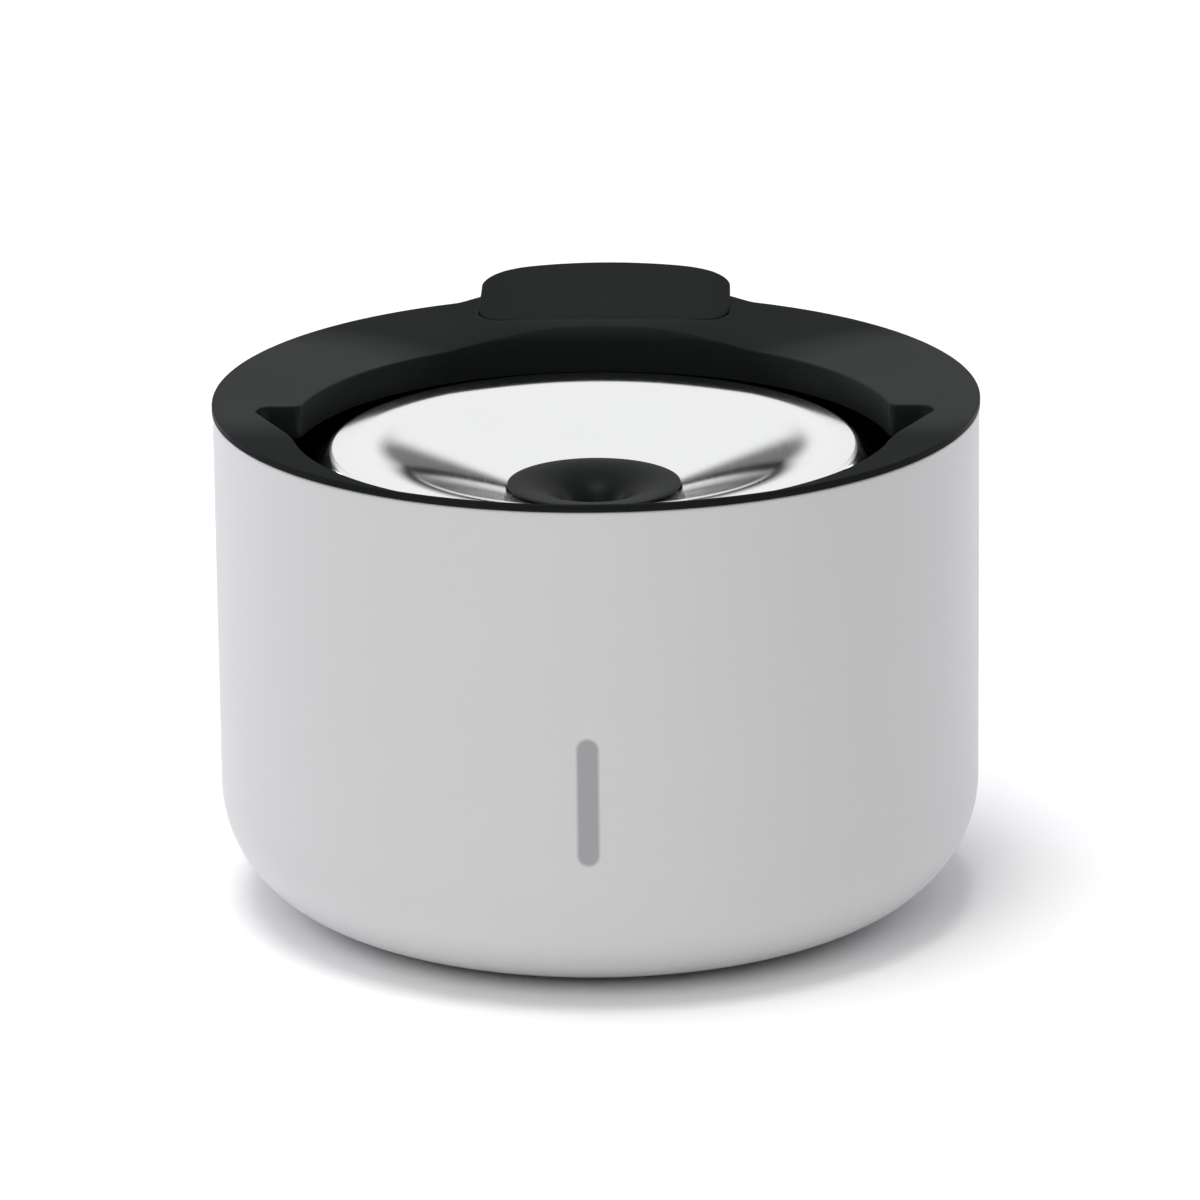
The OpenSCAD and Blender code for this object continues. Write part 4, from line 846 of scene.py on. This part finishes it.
def buildLid():
    # the plate gets a block for the cap's pocket, then the pocket and the port are cut
    plate = makeLid(lid)
    half = capHalf + cap["blockSide"]
    block = [(-half, capFront), (half, capFront)]
    for k in range(25):
        x = half * (1 - 2 * k / 24)
        block.append((x, sqrt((skirtR - lid["lap"]) ** 2 - x * x)))
    carve(plate, prism("pocketBlock", block, pocketFloor - cap["floor"], rimZ + cap["blockTop"]), "UNION")
    side = capHalf + cap["sideGap"]
    pocket = [Vector((max(-side, min(side, p.x)), p.y)) for p in capOutline(cap["frontGap"])]
    carve(plate, prism("pocketTool", pocket, pocketFloor, lidTop + 20))
    carve(plate, prism("portTool", portOutline(0.0), pocketFloor - 8, pocketFloor + 3))
    join(plate, makeSkirt(lid))
    return dress(plate, finishes["lidBlack"], "lid", ["lid_ring"])


buildLid()
print("lid ready")


def capHeight(x, y):
    return capTop - ridgeDrop(x) + (y - capFront) * tan(radians(cap["rise"]))


def makeCap(t):
    outline = capOutline(0.0)
    count = len(outline)
    centre = Vector((0, (capFront + capBack) / 2))
    inward = []
    for i in range(count):
        along = (outline[(i + 1) % count] - outline[i - 1]).normalized()
        inward.append(Vector((-along.y, along.x)))

    def drawnIn(path, share, drop=0.0):
        # a path moved towards the middle, at a drop below the top
        loop = []
        for q in path:
            m = q + (centre - q) * share
            loop.append((m.x, m.y, capHeight(m.x, m.y) - drop))
        return loop

    # the hollow underside comes first, so that the shell is closed
    hollow = [p + n * t["skin"] for p, n in zip(outline, inward)]
    loops = [drawnIn(hollow, share, t["skin"]) for share in (0.97, 0.8, 0.6, 0.4, 0.2, 0.0)]
    loops.append([(q.x, q.y, capBottom) for q in hollow])
    for inset, lift in t["foot"]:
        loops.append([(*(p + n * inset), capBottom + lift) for p, n in zip(outline, inward)])
    e = t["edge"]
    for k in range(7):
        a = pi / 2 * k / 6
        edge = [p + n * e * (1 - cos(a)) for p, n in zip(outline, inward)]
        loops.append(drawnIn(edge, 0.0, e * (1 - sin(a))))
    loops += [drawnIn(edge, k / 24) for k in range(1, 24)]
    shell = skin("capShell", loops, closed=False, capFirst=True, capLast=True)
    outer = portOutline(-t["gap"])
    inner = portOutline(-t["gap"] - t["collar"])
    low = pocketFloor - t["floor"] - t["collarProud"]
    foot = low + t["collarEdge"]
    top = capTop - t["collarTop"]
    corners = ((inner, foot), (inner, top), (outer, top), (outer, foot))
    rings = [[(p.x, p.y, z) for p in path] for path, z in corners]
    rings += [[(*p.lerp(q, share), low) for p, q in zip(outer, inner)] for share in (0.25, 0.75)]
    join(shell, skin("capCollar", rings))
    return dress(shell, finishes["lidBlack"], "cap", ["refill_cap"])


makeCap(cap)
print("cap ready")


# side and down of each row in rimRound count from the rim's outer top edge
cup = {"rimCover": 1.1, "rimThick": 0.5, "rimRound": ((0.2, 0.03), (0.05, 0.12), (0.0, 0.3)), "edge": 0.5,
       "bodyGap": 0.9, "bodyHeight": 4.0, "depth": 10.0, "foot": 2.0, "floor": 1.0, "hole": 5.2,
       "stem": 8.6, "stemIn": 7.05}
dish = {"steel": 0.8, "bowlRadius": 55.0, "brimRise": 0.3, "brimDrop": 6.3, "bowlDepth": 11.6,
        "turnRound": 38.0, "lipRun": 3.4, "lipAngle": 50.0, "lipRound": 2.0}


def dishPath(t):
    # from the hole for the cup out over the bowl and the brim
    holeR = cupHigh.x - cup["rimCover"]
    lipR = dishR - t["lipRun"]
    lipZ = lidTop - t["brimDrop"]
    turnZ = lipZ + t["brimRise"]
    edgeZ = lipZ - t["lipRun"] * tan(radians(t["lipAngle"]))
    corners = [(holeR, turnZ - t["bowlDepth"]), (t["bowlRadius"], turnZ), (lipR, lipZ), (dishR, edgeZ)]
    return roundCorners(corners, [0, t["turnRound"], t["lipRound"], 0], steps=24)


def makeDish(t):
    path = dishPath(t)
    under = sideStep(path, t["steel"])
    profile = [(p.x, p.y) for p in path] + [(p.x, p.y) for p in reversed(under)]
    obj = spin("dishPressing", profile, centreY=dishY, steps=420)
    return dress(obj, finishes["dishSteel"], "dish", ["dish"], sharp=50)


def makeCup(c):
    # a funnel with a thin rim, on a stem that plugs onto the riser
    top = cupHigh.z
    cupR = cupHigh.x
    rimBottom = top - c["rimThick"]
    bodyR = cupR - c["rimCover"] - c["bodyGap"]
    footZ = top - c["depth"] - c["foot"]
    floorZ = footZ - c["floor"]
    edgeR = cupR - c["edge"]
    profile = [(cupR, rimBottom), (bodyR, rimBottom), (bodyR, rimBottom - c["bodyHeight"]),
               (c["stem"], footZ), (c["stem"], cupLow.z), (c["stemIn"], cupLow.z), (c["stemIn"], floorZ),
               (c["hole"], floorZ)]
    for k in range(30, -1, -1):
        a = pi / 2 * k / 30
        profile.append((edgeR - (edgeR - c["hole"]) * sin(a), top - c["depth"] * (1 - cos(a))))
    profile += [(cupR - side, top - down) for side, down in c["rimRound"]]
    obj = spin("spoutFunnel", profile, centreY=dishY)
    return dress(obj, finishes["cupBlack"], "spout", ["spout_cup"], sharp=40)


support = {"wall": 2.0, "seat": 0.3, "edge": 0.2, "openingHalf": 8.0, "sill": 3.0, "head": 5.0, "openings": 4}


def makeSupport(s):
    # the ring that the bowl rests on, with openings across it for the water
    low, high = nodeBox("dish_support")
    outer = high.x
    inner = outer - s["wall"]
    under = sideStep(dishPath(dish), dish["steel"])
    top = min(p.y for p in under if inner - 1 < p.x < outer + 1) - s["seat"]
    profile = roundCorners([(inner, low.z), (outer, low.z), (outer, top), (inner, top)], [s["edge"]] * 4,
                           steps=3, closed=True)
    ring = spin("supportRing", [(p.x, p.y) for p in profile], centreY=dishY)
    for k in range(s["openings"]):
        a = pi * k / s["openings"]
        along = Vector((cos(a), sin(a))) * (outer + 2)
        across = Vector((-sin(a), cos(a))) * s["openingHalf"]
        bar = [Vector((0, dishY)) + corner for corner in
               (-along - across, along - across, along + across, -along + across)]
        carve(ring, prism("openingTool", bar, low.z + s["sill"], top - s["head"]))
    return dress(ring, finishes["deepBlack"], "lid", ["dish_support"])


makeDish(dish)
makeSupport(support)
makeCup(cup)
print("dish ready")


# the pieces that are shown as the solids have them
plain = {
    "window_seal": "rubberGrey", "base_pad": "rubberGrey", "dc_inlet": "deepBlack", "inlet_seal": "rubberGrey",
    "inlet_nut": "innerPale", "lid_seal": "rubberGrey", "tray_screws": "screwDark", "drip_tray": "deepBlack",
    "filter_basket": "innerPale", "filter_cartridge": "felt", "filter_cover": "innerPale",
    "spout_gasket": "rubberGrey", "riser_tube": "innerPale", "pump_cage": "innerPale", "pump_foam": "foamDark",
    "pump_body": "pumpGrey", "pump_cover": "pumpGrey", "pump_seal": "rubberGrey", "pump_screws": "screwSteel",
    "flow_regulator": "innerPale", "impeller": "innerPale", "rotor_magnet": "magnetDark",
    "impeller_shaft": "ceramicWhite", "shaft_bushes": "rubberGrey", "suction_cups": "rubberGrey",
    "pump_lead": "leadGrey", "lead_clips": "innerPale",
}
for name, finish in plain.items():
    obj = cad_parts[name]
    obj.data.materials.clear()
    obj.data.materials.append(finishes[finish])
print("inner parts finished")


studio = {"worldStrength": 0.97, "ambient": 0.5, "darkStrength": 0.18, "darkFrom": 2.5, "darkFull": 7.0,
          "darkTop": 15.0, "whiteFrom": 23.0, "horizonFrom": 4.0, "horizonTop": 11.0, "floorHalf": 3000.0,
          "floorColor": 0.98, "floorRoughness": 0.9, "cameraAzimuth": 1.8, "elevation": 17.749,
          "roll": 0.65, "distance": 2200.0, "targetZ": 60.0, "lens": 256.05, "shiftX": 0.0009,
          "shiftY": 0.0558}


def makeFloor(s):
    half = s["floorHalf"]
    floor = makeMesh("floorSheet", [(-half, -half, 0), (half, -half, 0), (half, half, 0), (-half, half, 0)],
                     [(0, 1, 2, 3)])
    material, _, shader = newMaterial("floorPaper")
    shader.inputs["Base Color"].default_value = (*[s["floorColor"]] * 3, 1)
    shader.inputs["Roughness"].default_value = s["floorRoughness"]
    shader.inputs["Specular IOR Level"].default_value = 0.0
    floor.data.materials.append(material)


def makeWorld(s):
    # even white light from above, dimmer near the horizon to the left and right of the back
    world = bpy.data.worlds.new("studioWorld")
    scene.world = world
    world.use_nodes = True
    tree = world.node_tree
    sky = tree.nodes["Background"]
    place = addNode(tree, "ShaderNodeTexCoord")
    split = addNode(tree, "ShaderNodeSeparateXYZ")
    tree.links.new(place.outputs["Generated"], split.inputs[0])
    turned = mathNode(tree, "ARCTAN2", split.outputs[0], split.outputs[1])
    side = mathNode(tree, "ABSOLUTE", mathNode(tree, "ADD", turned, radians(s["cameraAzimuth"])))
    wide = stepNode(tree, side, radians(s["darkFrom"]), radians(s["darkFull"]))
    high = stepNode(tree, split.outputs[2], sin(radians(s["darkTop"])), sin(radians(s["whiteFrom"])))
    low = mathNode(tree, "SUBTRACT", 1.0, high)
    near = stepNode(tree, split.outputs[2], sin(radians(s["horizonFrom"])), sin(radians(s["horizonTop"])))
    beside = mathNode(tree, "MULTIPLY", wide, low)
    mask = mathNode(tree, "MAXIMUM", beside, mathNode(tree, "SUBTRACT", 1.0, near))
    fall = mathNode(tree, "MULTIPLY", mask, s["worldStrength"] - s["darkStrength"])
    seen = mathNode(tree, "SUBTRACT", s["worldStrength"], fall)
    rays = addNode(tree, "ShaderNodeLightPath")
    direct = mathNode(tree, "MAXIMUM", rays.outputs["Is Camera Ray"], rays.outputs["Is Glossy Ray"])
    share = rangeNode(tree, direct, s["ambient"] / s["worldStrength"], 1.0)
    tree.links.new(mathNode(tree, "MULTIPLY", seen, share), sky.inputs["Strength"])
    sky.inputs["Color"].default_value = (1, 1, 1, 1)


lamps = {
    "keyLamp": {"place": (-0.55, -1.4, 1.25), "size": (1.2, 1.2), "power": 8.0, "color": (1.0, 1.0, 1.0)},
    "leftLamp": {"place": (-1.2, 0.8, 0.45), "size": (0.8, 0.8), "power": 6.0, "color": (0.86, 0.88, 1.0)},
    "rightLamp": {"place": (1.2, 1.0, 0.45), "size": (0.8, 0.8), "power": 4.5, "color": (0.86, 0.88, 1.0)},
}
topLamp = {"place": (-0.09, -0.07, 1.0), "strength": 1.5, "spread": 27.0}
lampAim = Vector((0, 0, 0.1))


def aimLamp(name, data, place):
    lamp = bpy.data.objects.new(name, data)
    scene.collection.objects.link(lamp)
    lamp.location = place
    lamp.rotation_euler = (lampAim - lamp.location).to_track_quat("-Z", "Y").to_euler()


def makeLamps():
    for name, look in lamps.items():
        data = bpy.data.lights.new(name, "AREA")
        data.shape = "RECTANGLE"
        data.size, data.size_y = look["size"]
        data.energy = look["power"]
        data.color = look["color"]
        aimLamp(name, data, look["place"])
    # a wide even light from above, for the floor and its short shadow
    data = bpy.data.lights.new("topLamp", "SUN")
    data.energy = topLamp["strength"]
    data.angle = radians(topLamp["spread"])
    aimLamp("topLamp", data, topLamp["place"])


def makeCamera(s):
    data = bpy.data.cameras.new("studioCamera")
    data.sensor_width = 36.0
    data.lens = s["lens"]
    data.shift_x = s["shiftX"]
    data.shift_y = s["shiftY"]
    data.clip_end = 100.0
    camera = bpy.data.objects.new("studioCamera", data)
    scene.collection.objects.link(camera)
    az = radians(s["cameraAzimuth"])
    el = radians(s["elevation"])
    target = Vector((0, 0, s["targetZ"] * mm))
    away = Vector((sin(az) * cos(el), -cos(az) * cos(el), sin(el)))
    right = Vector((cos(az), sin(az), 0))
    up = away.cross(right)
    roll = radians(s["roll"])
    rolledRight = right * cos(roll) - up * sin(roll)
    rolledUp = up * cos(roll) + right * sin(roll)
    turn = Matrix((rolledRight, rolledUp, away)).transposed().to_4x4()
    camera.matrix_world = Matrix.Translation(target + away * s["distance"] * mm) @ turn
    scene.camera = camera


makeFloor(studio)
makeWorld(studio)
makeLamps()
makeCamera(studio)
scene.view_settings.view_transform = "Standard"
print("studio ready")
